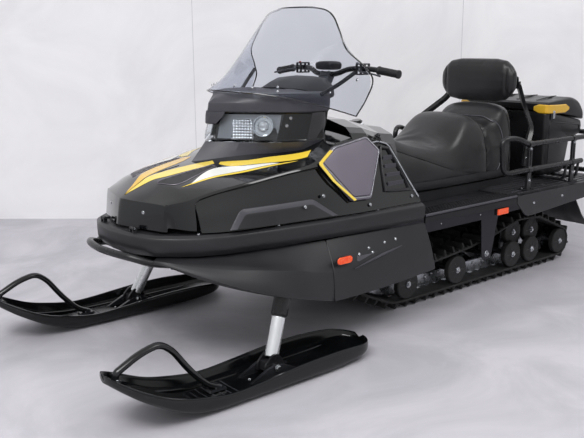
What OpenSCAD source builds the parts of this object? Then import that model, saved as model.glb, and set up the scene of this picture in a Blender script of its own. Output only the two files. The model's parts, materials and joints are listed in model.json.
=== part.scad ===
// Wide-track utility snowmobile, in millimetres.
// +Z is up, the machine faces -Y, and its left side is +X. The floor is at Z = 0.
// Lengths along the machine are stations, counted rearward from the foot of the ski spindles.

/* [Skis] */
// Distance between the centre lines of the two skis
ski_stance = 980; // [900:10:1100]
// Width of one ski
ski_w = 230; // [180:5:260]
// How far a ski tip reaches ahead of the spindle foot
ski_tip = 626; // [560:2:720]
// How far a ski tail reaches behind the spindle foot
ski_tail = 432; // [380:10:460]
// Height of the ski tip's rim above the floor
ski_rise = 190; // [160:2:230]
// Rearward rake of the kingpin
kingpin_rake = 24.5; // [20:0.5:27]
// Inward lean of the kingpin
kingpin_lean = 13; // [10:0.5:15]
// Diameter of the bright spindle tube
spindle_d = 50; // [40:1:56]
// Radial clearance of the spindle stem in its sleeve
stem_clearance = 0.05; // [0.02:0.01:0.1]

/* [Track] */
// Width of the track belt
track_w = 600; // [500:10:620]
// Thickness of the belt carcass
belt_t = 10; // [8:1:14]
// Height of the lugs
lug_h = 28; // [20:1:36]
// Pitch of the lugs along the belt
lug_pitch = 64; // [52:1:90]
// Diameter of the rail wheels
wheel_d = 132; // [124:1:140]
// Station of the drive sprocket
sprocket_y = 590; // [580:5:600]
// Station of the rear idler axle
rear_axle_y = 2112; // [2090:2:2130]

/* [Tunnel] */
// Gap between the belt edge and the tunnel side on each side
tunnel_gap = 18; // [14:1:24]
// Thickness of the tunnel sheet
tunnel_t = 4; // [3:0.5:6]
// Height of the tunnel's top face
tunnel_z = 436; // [425:1:450]
// Width of each running board
board_w = 112; // [90:2:140]

/* [Body] */
// Thickness of the hood and side panels
panel_t = 6; // [4:0.5:8]
// Half width of the bumper ledge at its widest
ledge_hw = 440; // [420:2:460]
// Height of the ledge on top of the lower fascia
ledge_z = 500; // [490:1:505]
// Width of the windscreen across its side lobes
screen_w = 740; // [700:5:760]
// Height of the windscreen's top edge
screen_z = 1279; // [1200:1:1300]
// Thickness of the windscreen
screen_t = 3; // [2:0.5:5]

/* [Steering] */
// Width of the handlebar over its grips
bar_w = 744; // [680:2:780]
// Rearward rake of the steering column
column_rake = 30; // [26:1:34]
// Diameter of the handlebar tube
bar_d = 22; // [20:1:26]

/* [Seat] */
// Half width of the seat at its base
seat_hw = 225; // [190:1:240]
// Height of the driver's seat pan
seat_z = 672; // [655:1:690]
// Half width of the backrest pad
backrest_hw = 227; // [180:1:250]

/* [Cargo] */
// Width between the centres of the rack's side rails
rack_w = 760; // [700:5:800]
// Diameter of the rack tube
rack_d = 26; // [20:1:30]
// Width of the cargo box
box_w = 540; // [440:5:640]
// Wall thickness of the cargo box
box_t = 5; // [4:0.5:8]
// Diameter of the tow hitch pin hole
hitch_hole_d = 17; // [13:0.5:26]

/* [Hidden] */
$fn = 48;

rear_end = 2446;
mid_station = (rear_end - ski_tip) / 2;
stance_hw = ski_stance / 2;

// Colours
black = "#17171a";
gloss = "#0c0d10";
grey = "#3c3c42";
metal = "#b9bcc0";

// ---- Vector helpers ----
function unit(v) = v / norm(v);
function total(v) = [for (x = v) 1] * v;
function lerp(a, b, t) = a + (b - a) * t;
function flat(rows) = [for (row = rows) each row];
function mean(p) = [for (k = [0:2]) total([for (q = p) q[k]]) / len(p)];
function flip_x(p) = [-p[0], p[1], p[2]];
function arc(c, r, a0, a1, k) = [for (s = [0:k]) let (a = lerp(a0, a1, s / k)) c + r * [cos(a), sin(a)]];
// A left half row, from its outer edge to the centre line, made whole
function across(row) = concat(row, [for (k = [len(row) - 2:-1:0]) flip_x(row[k])]);
// A path with its corners rounded over the distance r
function bend(p, r, k = 4) = [
    for (i = [0:len(p) - 1])
        if (i == 0 || i == len(p) - 1) p[i]
        else let (
            a = p[i - 1] - p[i],
            b = p[i + 1] - p[i],
            d = min(r, norm(a) * 0.48, norm(b) * 0.48),
            p0 = p[i] + unit(a) * d,
            p1 = p[i] + unit(b) * d
        ) each [for (s = [0:k]) let (t = s / k) (1 - t) * (1 - t) * p0 + 2 * t * (1 - t) * p[i] + t * t * p1]
];
// Faces turned over where needed, so that every solid faces outward
function volume(p, f) = total([for (t = f) p[t[0]] * cross(p[t[1]], p[t[2]])]);
function outward(p, f) = volume(p, f) < 0 ? f : [for (t = f) [t[0], t[2], t[1]]];

// A closed skin over rings that all have as many points, with flat ends
module skin(rings) {
    n = len(rings);
    m = len(rings[0]);
    points = concat(flat(rings), [mean(rings[0]), mean(rings[n - 1])]);
    sides = [
        for (i = [0:n - 2]) for (j = [0:m - 1])
            let (a = i * m + j, b = i * m + (j + 1) % m, c = a + m, d = b + m)
                each [[a, b, d], [a, d, c]]
    ];
    ends = [
        for (j = [0:m - 1])
            let (k = (j + 1) % m) each [[n * m, k, j], [n * m + 1, (n - 1) * m + j, (n - 1) * m + k]]
    ];
    faces = concat(sides, ends);
    polyhedron(points, outward(points, faces));
}

// A panel of thickness t below the grid of points that is its outer face
function grid_normal(g, i, j) = let (
    n = len(g) - 1,
    m = len(g[0]) - 1
) unit(cross(g[min(i + 1, n)][j] - g[max(i - 1, 0)][j], g[i][min(j + 1, m)] - g[i][max(j - 1, 0)]));
module panel(g, t) {
    n = len(g);
    m = len(g[0]);
    inner = [for (i = [0:n - 1]) [for (j = [0:m - 1]) g[i][j] - t * grid_normal(g, i, j)]];
    points = concat(flat(g), flat(inner));
    o = n * m;
    skins = [
        for (i = [0:n - 2]) for (j = [0:m - 2])
            let (a = i * m + j, b = a + 1, c = a + m, d = c + 1)
                each [[a, b, d], [a, d, c], [o + a, o + d, o + b], [o + a, o + c, o + d]]
    ];
    ends = [
        for (j = [0:m - 2]) for (e = [0, (n - 1) * m])
            let (a = e + j, b = a + 1, s = e == 0)
                each s ? [[a, o + b, b], [a, o + a, o + b]] : [[a, b, o + b], [a, o + b, o + a]]
    ];
    edges = [
        for (i = [0:n - 2]) for (e = [0, m - 1])
            let (a = i * m + e, c = a + m, s = e == 0)
                each s ? [[a, c, o + c], [a, o + c, o + a]] : [[a, o + c, c], [a, o + a, o + c]]
    ];
    faces = concat(skins, ends, edges);
    polyhedron(points, outward(points, faces));
}

// A round tube or bar swept along a path; ref is a direction the path never runs along
module bar(path, r, ref = [0, 0, 1], sides = 10) {
    n = len(path) - 1;
    skin([
        for (i = [0:n])
            let (
                t = unit(path[min(i + 1, n)] - path[max(i - 1, 0)]),
                u = unit(cross(t, ref)),
                v = cross(t, u)
            ) [for (k = [0:sides - 1]) path[i] + r * (cos(k * 360 / sides) * u + sin(k * 360 / sides) * v)]
    ]);
}

// The whole machine's frame: its origin is on the floor at mid length
module placed() { translate([0, -mid_station, 0]) children(); }
// A side view outline, as [station, height], given the width from x0 to x1
module side_plate(x0, x1) { translate([x0, 0, 0]) rotate([90, 0, 90]) linear_extrude(x1 - x0) children(); }
// A shaft across the machine
module shaft(y, z, r, x0, x1) { translate([x0, y, z]) rotate([0, 90, 0]) cylinder(r = r, h = x1 - x0); }
// Left pieces as drawn, right pieces as their mirror image
module on_side(side) { mirror([side < 0 ? 1 : 0, 0, 0]) children(); }

// ---- Track and what carries it ----
belt_z = lug_h + belt_t / 2;
wheel_r = wheel_d / 2;
wheel_gap = 1.5;
wheel_z = lug_h + belt_t + wheel_r + wheel_gap;
idler_path_r = wheel_r + wheel_gap + belt_t / 2;
sprocket_z = 235;
sprocket_r = 78;
sprocket_path_r = sprocket_r + 2 + belt_t / 2;
// The carrier wheels hang so that they keep to the upper run, whatever their size
carrier_wheel_at = [[1742, 270 - wheel_r], [1900, 259 - wheel_r]];
rail_wheel_y = [921, 1260, 1693, 1855];
wheel_x = track_w / 2 - 16;
wheel_t = 28;
rail_x = track_w / 2 - 95;
sag = [[1800, 274], [1738, 277], [1660, 262], [1510, 226], [1343, 200], [1198, 186], [1073, 176],
    [960, 184], [860, 214], [760, 256]];

// The belt's centre line as [station, height], once round the loop
belt_line = concat(
    arc([rear_axle_y, wheel_z], idler_path_r, -90, 68, 10),
    [[1912, 265]], sag,
    arc([sprocket_y, sprocket_z], sprocket_path_r, 62, 246, 12),
    bend([[sprocket_y + 80, 104], [sprocket_y + 235, belt_z + 3], [sprocket_y + 330, belt_z]], 60, 4)
);
function run(i) = belt_line[(i + len(belt_line)) % len(belt_line)];
function belt_side(i) = let (d = unit(run(i + 1) - run(i - 1))) [d[1], -d[0]];
function belt_offset(d) = [for (i = [0:len(belt_line) - 1]) run(i) + d * belt_side(i)];
// Stations along the belt, for setting out the lugs
function step(i) = norm(run(i + 1) - run(i));
function belt_at(s, i = 0) = s <= step(i)
    ? [lerp(run(i), run(i + 1), s / step(i)), unit(run(i + 1) - run(i))]
    : belt_at(s - step(i), i + 1);
belt_length = total([for (i = [0:len(belt_line) - 1]) step(i)]);
lug_count = floor(belt_length / lug_pitch);

module belt_lug(s) {
    at = belt_at(s);
    out = [at[1][1], -at[1][0]];
    root = at[0] + out * (belt_t / 2 - 2);
    tip = at[0] + out * (belt_t / 2 + lug_h);
    polygon([root - at[1] * 9, tip - at[1] * 4, tip + at[1] * 4, root + at[1] * 9]);
}
module track() {
    color(black) placed() side_plate(-track_w / 2, track_w / 2) difference() {
        union() {
            polygon(belt_offset(belt_t / 2));
            for (k = [0:lug_count - 1]) belt_lug((k + 0.5) * belt_length / lug_count);
        }
        polygon(belt_offset(-belt_t / 2));
    }
}
// Two wheels on a stub axle, on each side of the machine
module wheel_set(y, z, axle_r, inner_x, outer_x) {
    for (s = [-1, 1]) on_side(s) {
        shaft(y, z, axle_r, inner_x - wheel_t / 2 - 6, outer_x + wheel_t / 2 + 6);
        for (x = [inner_x, outer_x]) shaft(y, z, wheel_r, x - wheel_t / 2, x + wheel_t / 2);
    }
}
module rail_wheels() {
    color(grey) placed() for (y = rail_wheel_y) wheel_set(y, wheel_z, 10, rail_x - 60, wheel_x);
}
module carrier_wheels() {
    color(grey) placed() for (at = carrier_wheel_at) wheel_set(at[0], at[1], 10, rail_x - 95, rail_x + 40);
}
module rear_idlers() {
    color(grey) placed() {
        wheel_set(rear_axle_y, wheel_z, 12, rail_x - 60, wheel_x);
        shaft(rear_axle_y, wheel_z, 12, 1 - rail_x + 60, rail_x - 61);
    }
}
module drive_axle() {
    color(grey) placed() {
        shaft(sprocket_y, sprocket_z, 16, -tunnel_in, tunnel_in);
        for (x = [-200, -70, 70, 200]) shaft(sprocket_y, sprocket_z, sprocket_r, x - 20, x + 20);
    }
}
rail_top = 96;
rail_foot = lug_h + belt_t + 1;
module rail_outline() {
    polygon(concat(
        bend([[690, 134], [706, 108], [775, 76], [830, 57], [885, 46], [930, rail_foot], [1000, rail_foot]], 24, 3),
        [[rear_axle_y - 60, rail_foot], [rear_axle_y - 20, wheel_z - 34]],
        arc([rear_axle_y, wheel_z], 32, -70, 90, 6),
        [[rear_axle_y - 60, rail_top + 16], [rear_axle_y - 110, rail_top], [790, rail_top], [720, 128]]
    ));
}
module slide_rails() {
    color(metal) placed() difference() {
        union() {
            for (s = [-1, 1]) {
                side_plate(s * rail_x - 7, s * rail_x + 7) rail_outline();
                for (at = carrier_wheel_at) side_plate(s * rail_x - 5, s * rail_x + 5)
                    polygon([[at[0] - 40, rail_top - 5], [at[0] - 20, at[1] + 18],
                        [at[0] + 20, at[1] + 18], [at[0] + 40, rail_top - 5]]);
            }
            for (y = [1130, 1560]) shaft(y, rail_top - 18, 12, -rail_x, rail_x);
        }
        for (y = rail_wheel_y) shaft(y, wheel_z, 10.5, -track_w, track_w);
        for (at = carrier_wheel_at) shaft(at[0], at[1], 10.5, -track_w, track_w);
        shaft(rear_axle_y, wheel_z, 12.5, -track_w, track_w);
    }
}
// Pivots of the two swing arms on the tunnel, and where they meet the rails
arm_mount = [[780, 196], [1440, 158]];
arm_foot = [[1130, rail_top - 18], [1560, rail_top - 18]];
module suspension_arms() {
    color(grey) placed() difference() {
        for (k = [0, 1]) {
            shaft(arm_mount[k][0], arm_mount[k][1], 14, -tunnel_in, tunnel_in);
            for (s = [-1, 1]) for (x = [s * (rail_x - 34)])
                side_plate(x - 10, x + 10) arm_outline(arm_mount[k], arm_foot[k]);
        }
        for (p = arm_foot) shaft(p[0], p[1], 12.3, -rail_x, rail_x);
    }
}
module arm_outline(a, b) {
    along = unit(b - a);
    side = 15 * [-along[1], along[0]];
    union() {
        polygon([a + side, a - side, b - side, b + side]);
        translate(a) circle(r = 22);
        translate(b) circle(r = 20);
    }
}
shock_ends = [[1130, rail_top - 18], [1440, 158]];
module rear_shock() {
    a = shock_ends[0];
    b = shock_ends[1];
    along = unit(b - a);
    tilt = atan2(along[1], along[0]);
    color(metal) placed() translate([0, a[0], a[1]]) rotate([tilt - 90, 0, 0]) {
        translate([0, 0, 13]) cylinder(r = 12, h = norm(b - a) - 28.5);
        translate([0, 0, 50]) cylinder(r = 27, h = 190);
    }
}

// ---- Tunnel, running boards and rear deck ----
tunnel_in = track_w / 2 + tunnel_gap;
tunnel_out = tunnel_in + tunnel_t;
board_out = tunnel_out + board_w;
tunnel_y = [478, 2180];
board_y = [862, 1500];
module tunnel_side() {
    difference() {
        polygon([[tunnel_y[0], tunnel_z], [tunnel_y[0], 200], [540, 180], [700, 180], [740, 172], [800, 160],
            [830, 180], [850, 330], [1390, 330], [1405, 150], [1420, 130], [1460, 130], [1480, 150],
            [1520, 335], [2090, 350], [tunnel_y[1], 400], [tunnel_y[1], tunnel_z]]);
        translate([sprocket_y, sprocket_z]) circle(r = 20);
        for (p = arm_mount) translate(p) circle(r = 9);
    }
}
module tunnel() {
    color("#55565c") placed() {
        for (s = [-1, 1]) side_plate(min(s * tunnel_in, s * tunnel_out), max(s * tunnel_in, s * tunnel_out))
            tunnel_side();
        side_plate(-tunnel_in - 1, tunnel_in + 1) polygon([[tunnel_y[0], tunnel_z - tunnel_t],
            [tunnel_y[1], tunnel_z - tunnel_t], [tunnel_y[1], tunnel_z], [tunnel_y[0], tunnel_z]]);
        side_plate(-tunnel_in - 1, tunnel_in + 1) polygon([[tunnel_y[0], 365], [tunnel_y[0] + tunnel_t, 365],
            [tunnel_y[0] + tunnel_t, tunnel_z], [tunnel_y[0], tunnel_z]]);
    }
}
module running_board(side) {
    color("#515157") placed() on_side(side) {
        translate([tunnel_out + 1, board_y[0], tunnel_z]) cube([board_w - 1, board_y[1] - board_y[0], 8]);
        side_plate(board_out - 10, board_out) polygon([[board_y[0], 412], [board_y[1], 406],
            [board_y[1], tunnel_z + 8], [board_y[0], tunnel_z + 8]]);
        side_plate(tunnel_out + 1, tunnel_out + 6) polygon([[board_y[0] + 60, 405], [board_y[1] - 60, 405],
            [board_y[1], tunnel_z + 8], [board_y[0], tunnel_z + 8]]);
        for (y = [board_y[0] + 90 : 170 : board_y[1] - 40])
            translate([tunnel_out + 4, y, tunnel_z - 24]) cube([board_w - 12, 8, 26]);
    }
}
deck_y = [board_y[1] + 6, 2326];
flap_wall_y = 2234;
deck_z = tunnel_z + 2;
deck_t = 6;
anchor_x = 320;
anchor_y = [1870, 2130];
module deck_side() {
    polygon([[deck_y[0], 412], [deck_y[0] + 70, 345], [deck_y[0] + 110, 338], [2090, 366],
        [flap_wall_y, 384], [deck_y[1], 404], [deck_y[1], deck_z + deck_t], [deck_y[0], deck_z + deck_t]]);
}
module rear_deck() {
    color(grey) placed() difference() {
        union() {
            translate([-board_out + 1, deck_y[0], deck_z])
                cube([2 * board_out - 2, deck_y[1] - deck_y[0], deck_t]);
            for (s = [-1, 1]) side_plate(s > 0 ? board_out - 6 : -board_out, s > 0 ? board_out : 6 - board_out)
                deck_side();
            translate([-board_out + 1, flap_wall_y, 384]) cube([2 * board_out - 2, 6, deck_z + deck_t - 384]);
            translate([-board_out + 1, deck_y[1] - 6, 404]) cube([2 * board_out - 2, 6, deck_z + deck_t - 404]);
        }
        for (x = [-anchor_x, anchor_x]) for (y = anchor_y)
            translate([x, y, deck_z - 1]) cylinder(d = 8.5, h = deck_t + 2);
        translate([-34, flap_wall_y - 4, 380]) cube([68, 100, 42]);
    }
}
module rear_bumper() {
    half = [[330, deck_y[1] + 6, 424], [330, 2400, 440], [300, rear_end - 14, 448], [0, rear_end - 14, 448]];
    color(black) placed() {
        bar(bend(across(half), 60, 4), 14);
        for (s = [-1, 1]) translate([s * 330 - 24, deck_y[1] + 0.5, 396]) cube([48, 8, 44]);
    }
}
hitch_at = [2386, 404];
module tow_hitch() {
    color(grey) placed() difference() {
        union() {
            translate([-30, 2186, hitch_at[1] - 12]) cube([60, hitch_at[0] - 2186, 12]);
            translate([0, hitch_at[0], hitch_at[1] - 12]) cylinder(r = 30, h = 12);
            translate([-70, 2186, hitch_at[1] - 42]) cube([140, 6, 42]);
        }
        translate([0, hitch_at[0], hitch_at[1] - 13]) cylinder(d = hitch_hole_d, h = 14);
    }
}
module snow_flap() {
    color(black) placed() side_plate(-track_w / 2 + 10, track_w / 2 - 10) polygon(concat(
        bend([[2228, 382], [2250, 320], [2340, 200], [2400, 150]], 60, 4),
        bend([[2406, 154], [2346, 206], [2257, 324], [2236, 382]], 60, 4)
    ));
}

// ---- Lower body ----
// Outline of the ledge seen from above, on the left, from the rear corner to the nose
ledge_line = [[ledge_hw, 850], [ledge_hw - 12, 605], [ledge_hw - 30, 350], [ledge_hw - 55, 141],
    [ledge_hw - 91, -66], [ledge_hw - 129, -160], [ledge_hw - 169, -219], [ledge_hw - 222, -278],
    [ledge_hw - 322, -323], [0, -339]];
function ledge_point(k, inset, z) = let (
    n = len(ledge_line) - 1,
    a = ledge_line[max(k - 1, 0)],
    b = ledge_line[min(k + 1, n)],
    d = unit(b - a),
    side = k == n ? [0, 1] : [d[1], -d[0]]
) [k == n ? 0 : ledge_line[k][0] + side[0] * inset, ledge_line[k][1] + side[1] * inset, z];
module lower_fascia() {
    profile = [[44, 0], [3, 0], [0, -5], [0, -64], [14, -78]];
    columns = [for (p = profile) across([for (k = [0:len(ledge_line) - 1])
        ledge_point(k, p[0], ledge_z + p[1])])];
    color(grey) placed() {
        panel(columns, -panel_t);
        for (x = hood_hinge_x) for (e = [-13, 8]) difference() {
            side_plate(x + e, x + e + 5) union() {
                translate(hood_hinge) circle(r = 7);
                translate([hood_hinge[0] - 7, ledge_z - 2]) square([14, hood_hinge[1] - ledge_z + 2]);
            }
        }
        for (x = hood_hinge_x) shaft(hood_hinge[0], hood_hinge[1], 4, x - 13, x + 13);
    }
}
// The hood's hinge axis as [station, height], and its two places across the nose
hood_hinge = [-302, 514];
hood_hinge_x = [-110, 110];
// The tub below the fascia: skirt break, skirt edge, hull side and keel at each station, as [x, y, z]
tub_top = ledge_z - 84;
tub_sections = [
    [[456, 330, 318], [478, 315, 206], [300, 320, 196], [0, 320, 190]],
    [[464, 225, 344], [492, 212, 238], [290, 215, 206], [0, 215, 198]],
    [[466, 110, 356], [496, 80, 272], [275, 95, 232], [0, 100, 222]],
    [[406, -70, 388], [438, -98, 336], [250, -60, 290], [0, -40, 276]],
    [[345, -178, 400], [364, -196, 382], [215, -150, 345], [0, -140, 334]],
    [[285, -238, 408], [292, -248, 402], [180, -215, 380], [0, -215, 372]],
    [[215, -284, 412], [212, -288, 408], [150, -265, 398], [0, -268, 394]]
];
// Where along the ledge each section hangs, counted in ledge points
tub_at = [2, 3, 4, 5, 6, 6.6, 7.1];
function tub_row(k) = let (a = floor(tub_at[k])) concat(
    [lerp(ledge_point(a, 26, tub_top), ledge_point(a + 1, 26, tub_top), tub_at[k] - a)], tub_sections[k]);
module belly_pan() {
    rows = [for (k = [0:len(tub_sections) - 1]) across(tub_row(k))];
    color(grey) placed() difference() {
        panel(rows, -4);
        for (s = [-1, 1]) kingpin(s) translate([0, 0, 100]) cylinder(r = sleeve_r + 3, h = sleeve_to - 100);
        for (s = [-1, 1]) on_side(s) translate([219, -138, 376]) rotate([0, 81, -97]) cylinder(r = 24, h = 184);
    }
}
// The footwell skirt behind the tub, as rows of [x, y, z] from the ledge down
footwell_rows = [
    [[ledge_hw - 44, 352, tub_top], [452, 342, 300], [476, 328, 206]],
    [[ledge_hw - 30, 600, tub_top], [455, 596, 300], [466, 590, 201]],
    [[ledge_hw - 12, 858, tub_top], [450, 880, 320], [452, 910, 213]]
];
module footwell(side) { color(grey) placed() on_side(side) panel(footwell_rows, 5); }
front_tube_line = [[218, -150, 374], [218, -225, 392], [202, -285, 402], [170, -336, 424], [100, -364, 430],
    [0, -375, 430]];
module front_tube(r) { bar(bend(across(front_tube_line), 40, 3), r); }
module front_bumper() { color(black) placed() front_tube(13); }
module engine() {
    color("#6d6f73") placed() translate([-190, 70, 262]) cube([380, 350, 330]);
}

// ---- Upper body ----
panel_slope = 24.2;
side_zero = [400, 550];
function side_x(z) = side_zero[0] - (z - side_zero[1]) * tan(panel_slope);
// Rows of the side panel at stations, as [x, y, z] at the base and at the crease
side_rows = [
    [[300, -143, ledge_z + 5], [257, -143, 610]],
    [[343, -66, ledge_z + 5], [285, -66, 632]],
    [[362, 60, ledge_z + 5], [322, 60, 652]],
    [[380, 213, ledge_z + 5], [338, 213, 676]],
    [[398, 348, ledge_z + 5], [340, 348, 683]],
    [[412, 442, ledge_z + 5], [side_x(745), 442, 745]],
    [[418, 560, ledge_z + 5], [side_x(762), 560, 762]],
    [[419, 640, ledge_z + 5], [side_x(774), 640, 774]],
    [[420, 730, ledge_z + 5], [side_x(742), 765, 742]],
    [[420, 790, ledge_z + 5], [side_x(700), 782, 700]],
    [[420, 848, ledge_z + 5], [side_x(530), 842, 530]]
];
module side_panel(side) {
    rows = [for (r = side_rows) [r[0], lerp(r[0], r[1], 0.5) + [4, 0, 0], r[1]]];
    color(gloss) placed() on_side(side) difference() {
        panel(rows, panel_t);
        in_side_plane() linear_extrude(60, center = true) vent_outline();
    }
}
// Puts a [station, slope] outline on the left side panel's plane
module in_side_plane() {
    translate([side_zero[0], 0, side_zero[1]]) rotate([0, -panel_slope, 0]) rotate([90, 0, 90]) children();
}
module vent_outline() { polygon([[668, 24], [778, 12], [738, 150], [704, 158]]); }
hex_outline = [[353, 164], [442, 218], [633, 246], [685, 183], [563, -4], [468, 1]];
module hex_cover(side) {
    middle = total([for (p = hex_outline) p]) / len(hex_outline);
    steps = [[1, 12], [1, 16], [0.96, 21], [0.9, 22]];
    color("#6f6b76") placed() on_side(side) in_side_plane() skin([
        for (s = steps) [for (p = hex_outline) let (q = lerp(middle, p, s[0])) [q[0], q[1], s[1]]]
    ]);
}
console_sections = [
    [600, 272, 560, 284, 740, 225, 812, 842],
    [690, 272, 520, 284, 735, 225, 802, 836],
    [765, 268, 470, 275, 690, 205, 782, 818],
    [840, 225, 450, 232, 620, 182, 765, 800],
    [942, 205, 450, 205, 620, 160, 752, 784]
];
// A body section: [station, base half width, base height, waist, its height, shoulder, its height, crown]
function section(s) = let (
    half = [[s[1], s[2]], [s[3], s[4]], [lerp(s[5], s[3], 0.45), lerp(s[6], s[4], 0.3)], [s[5], s[6]],
        [s[5] * 0.55, lerp(s[6], s[7], 0.8)], [0, s[7]]]
) concat([for (p = half) [p[0], s[0], p[1]]], [for (k = [4:-1:0]) [-half[k][0], s[0], half[k][1]]]);
module console() {
    color(gloss) placed() difference() {
        skin([for (s = console_sections) section(s)]);
        column_axis() translate([0, 0, -500]) cylinder(r = 34, h = 1000);
    }
}

// The hood's rows from the nose back, as [x, y, z] from its left edge to the centre line
nose_face = [[[218, -227, 507], [212, -236, 507], [150, -268, 507], [75, -290, 507], [0, -298, 507]],
    [[216, -224, 522], [209, -228, 600], [150, -256, 601], [75, -276, 600], [0, -284, 599]]];
hood_edges = [
    [[268, -154, 508], [258, -156, 614], -180, 660],
    [[262, -147, 612], [261, -149, 616], -172, 664],
    [[290, -66, 636], [288, -68, 640], -80, 684],
    [[326, 60, 657], [324, 58, 661], 50, 703],
    [[342, 213, 681], [340, 211, 685], 210, 738],
    [[344, 348, 688], [342, 347, 693], 348, 764],
    [[side_x(750) + 4, 442, 750], [side_x(750), 442, 756], 442, 780],
    [[side_x(766) + 4, 560, 767], [side_x(766), 560, 773], 540, 800]
];
function hood_row(e) = concat([e[0], e[1]], [
    for (t = [0.78, 0.5, 0.25, 0]) [e[1][0] * t, lerp(e[2], e[1][1], t * t), lerp(e[3], e[1][2], pow(t, 2.4))]
]);
function nose_row(r) = concat([r[0], r[1]], [for (t = [0.78, 0.5, 0.25, 0]) [r[1][0] * t,
    lerp(r[4][1], r[1][1], pow(t, 1.2)), lerp(r[4][2], r[1][2], t)]]);
// Outline of the opening that the cowl stands in, from its rear corner to the prow, on the left
cowl_opening = [[150, 600], [150, 508], [253, 494], [248, 353], [205, 250], [102, 116], [10, -5]];
module hood() {
    rows = concat([for (r = nose_face) nose_row(r)], [for (e = hood_edges) hood_row(e)]);
    color(gloss) placed() {
        difference() {
            panel([for (r = rows) across(r)], -panel_t);
            translate([0, 0, 600]) linear_extrude(300) polygon(concat(
                cowl_opening, [for (k = [len(cowl_opening) - 1:-1:0]) [-cowl_opening[k][0], cowl_opening[k][1]]]));
        }
        for (x = hood_hinge_x) difference() {
            union() {
                shaft(hood_hinge[0], hood_hinge[1], 7, x - 7, x + 7);
                translate([x - 7, hood_hinge[0], hood_hinge[1] - 4]) cube([14, 24, 8]);
            }
            shaft(hood_hinge[0], hood_hinge[1], 4.15, x - 8, x + 8);
        }
    }
}

// The headlight cowl: rings at rising heights, as [height, prow, shoulder x, shoulder y, side x, rear y, dip].
// The dip lowers the ring's prow, so that the foot of the cowl follows the hood.
cowl_rings = [
    [738, -8, 176, 240, 232, 478, 54],
    [757, 46, 212, 268, 250, 480, 14],
    [776, 80, 222, 254, 258, 486, 0],
    [781, 114, 216, 284, 258, 486, 0],
    [881, 144, 222, 320, 264, 496, 0],
    [886, 110, 232, 290, 266, 498, 0],
    [905, 84, 242, 296, 270, 500, 0],
    [936, 96, 244, 300, 272, 500, 0],
    [957, 150, 210, 330, 258, 496, 0]
];
function cowl_ring(c) = let (half = [[c[4] - 14, c[5], 0], [c[4], lerp(c[3], c[5], 0.45), 0.3],
    [c[2], c[3], 0.55], [c[2] * 0.5, lerp(c[1], c[3], 0.46), 0.85], [0, c[1], 1]])
    across([for (p = half) [p[0], p[1], c[0] - c[6] * p[2]]]);
// The lens band in the cowl's recess, as [height, prow, shoulder x, shoulder y]
lens_rings = [[782, 82, 218, 252], [880, 112, 226, 288]];
module headlight_cowl() { color(black) placed() skin([for (c = cowl_rings) cowl_ring(c)]); }
module headlight_lens() {
    color("#dfe6ea", 0.5) placed() for (s = [-1, 1]) on_side(s) skin([
        for (r = lens_rings) let (x0 = 4, y0 = lerp(r[1], r[3], x0 / r[2])) [
            [r[2] - 6, r[3] - 3, r[0]], [r[2] - 6, r[3] + 3, r[0]], [x0, y0 + 6, r[0]], [x0, y0, r[0]]]
    ]);
}
lamp_lift = 0.5;
module headlight_lamps() {
    color(metal) placed() for (s = [-1, 1]) on_side(s) translate([158, 236, 836])
        rotate([0, 76.9, -52.6]) translate([0, 0, lamp_lift]) cylinder(r = 36, h = 2.5);
}
module instrument_panel() {
    color(black) placed() skin([
        for (r = [[820, 504, 540], [925, 506, 520]])
            [[-150, r[1], r[0]], [150, r[1], r[0]], [140, r[2], r[0]], [-140, r[2], r[0]]]
    ]);
}

// The windscreen: rows from its base up, as [edge x, edge y, edge z, centre y, centre z, curve]
lobe_x = screen_w / 2;
screen_top = screen_z;
screen_rows = [
    [lobe_x - 10, 528, 868, 166, 962, 3],
    [lobe_x - 2, 572, 930, 194, 985, 2.4],
    [lobe_x, 605, 1000, 222, 1010, 2.1],
    [lobe_x - 20, 580, 1052, 266, 1056, 2],
    [lobe_x - 65, 528, 1116, 330, 1116, 2],
    [lobe_x - 105, 530, 1180, 394, 1182, 2],
    [lobe_x - 150, 538, 1238, 452, 1240, 2],
    [lobe_x - 195, 538, screen_top - 14, 486, screen_top - 8, 2],
    [lobe_x - 262, 534, screen_top - 2, 497, screen_top, 2]
];
function screen_row(r) = across([for (t = [1, 0.93, 0.84, 0.7, 0.54, 0.36, 0.18, 0])
    [r[0] * t, lerp(r[3], r[1], pow(t, r[5])), lerp(r[4], r[2], pow(t, 4))]]);
module windscreen() {
    color("#cfd8de", 0.35) placed() panel([for (r = screen_rows) screen_row(r)], -screen_t);
}

// ---- Seat and backrest ----
seat_foot = tunnel_z + 48;
seat_sections = [
    [950, seat_hw - 25, seat_foot, seat_hw - 28, 600, 120, 742, 764],
    [1000, seat_hw - 14, seat_foot, seat_hw - 16, 600, 140, 716, seat_z + 62],
    [1070, seat_hw - 6, seat_foot, seat_hw - 8, 600, 165, 686, seat_z + 16],
    [1170, seat_hw, seat_foot, seat_hw - 2, 590, 180, 664, seat_z],
    [1270, seat_hw, seat_foot, seat_hw - 2, 580, 184, 662, seat_z + 6],
    [1345, seat_hw, seat_foot, seat_hw - 2, 580, 184, 690, seat_z + 56],
    [1410, seat_hw, seat_foot, seat_hw - 4, 600, 178, 760, seat_z + 122],
    [1470, seat_hw, seat_foot, seat_hw - 6, 620, 168, 800, seat_z + 150],
    [1530, seat_hw, seat_foot, seat_hw - 6, 620, 168, 776, seat_z + 118],
    [1560, seat_hw, seat_foot, seat_hw - 6, 620, 175, 752, seat_z + 92]
];
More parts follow.
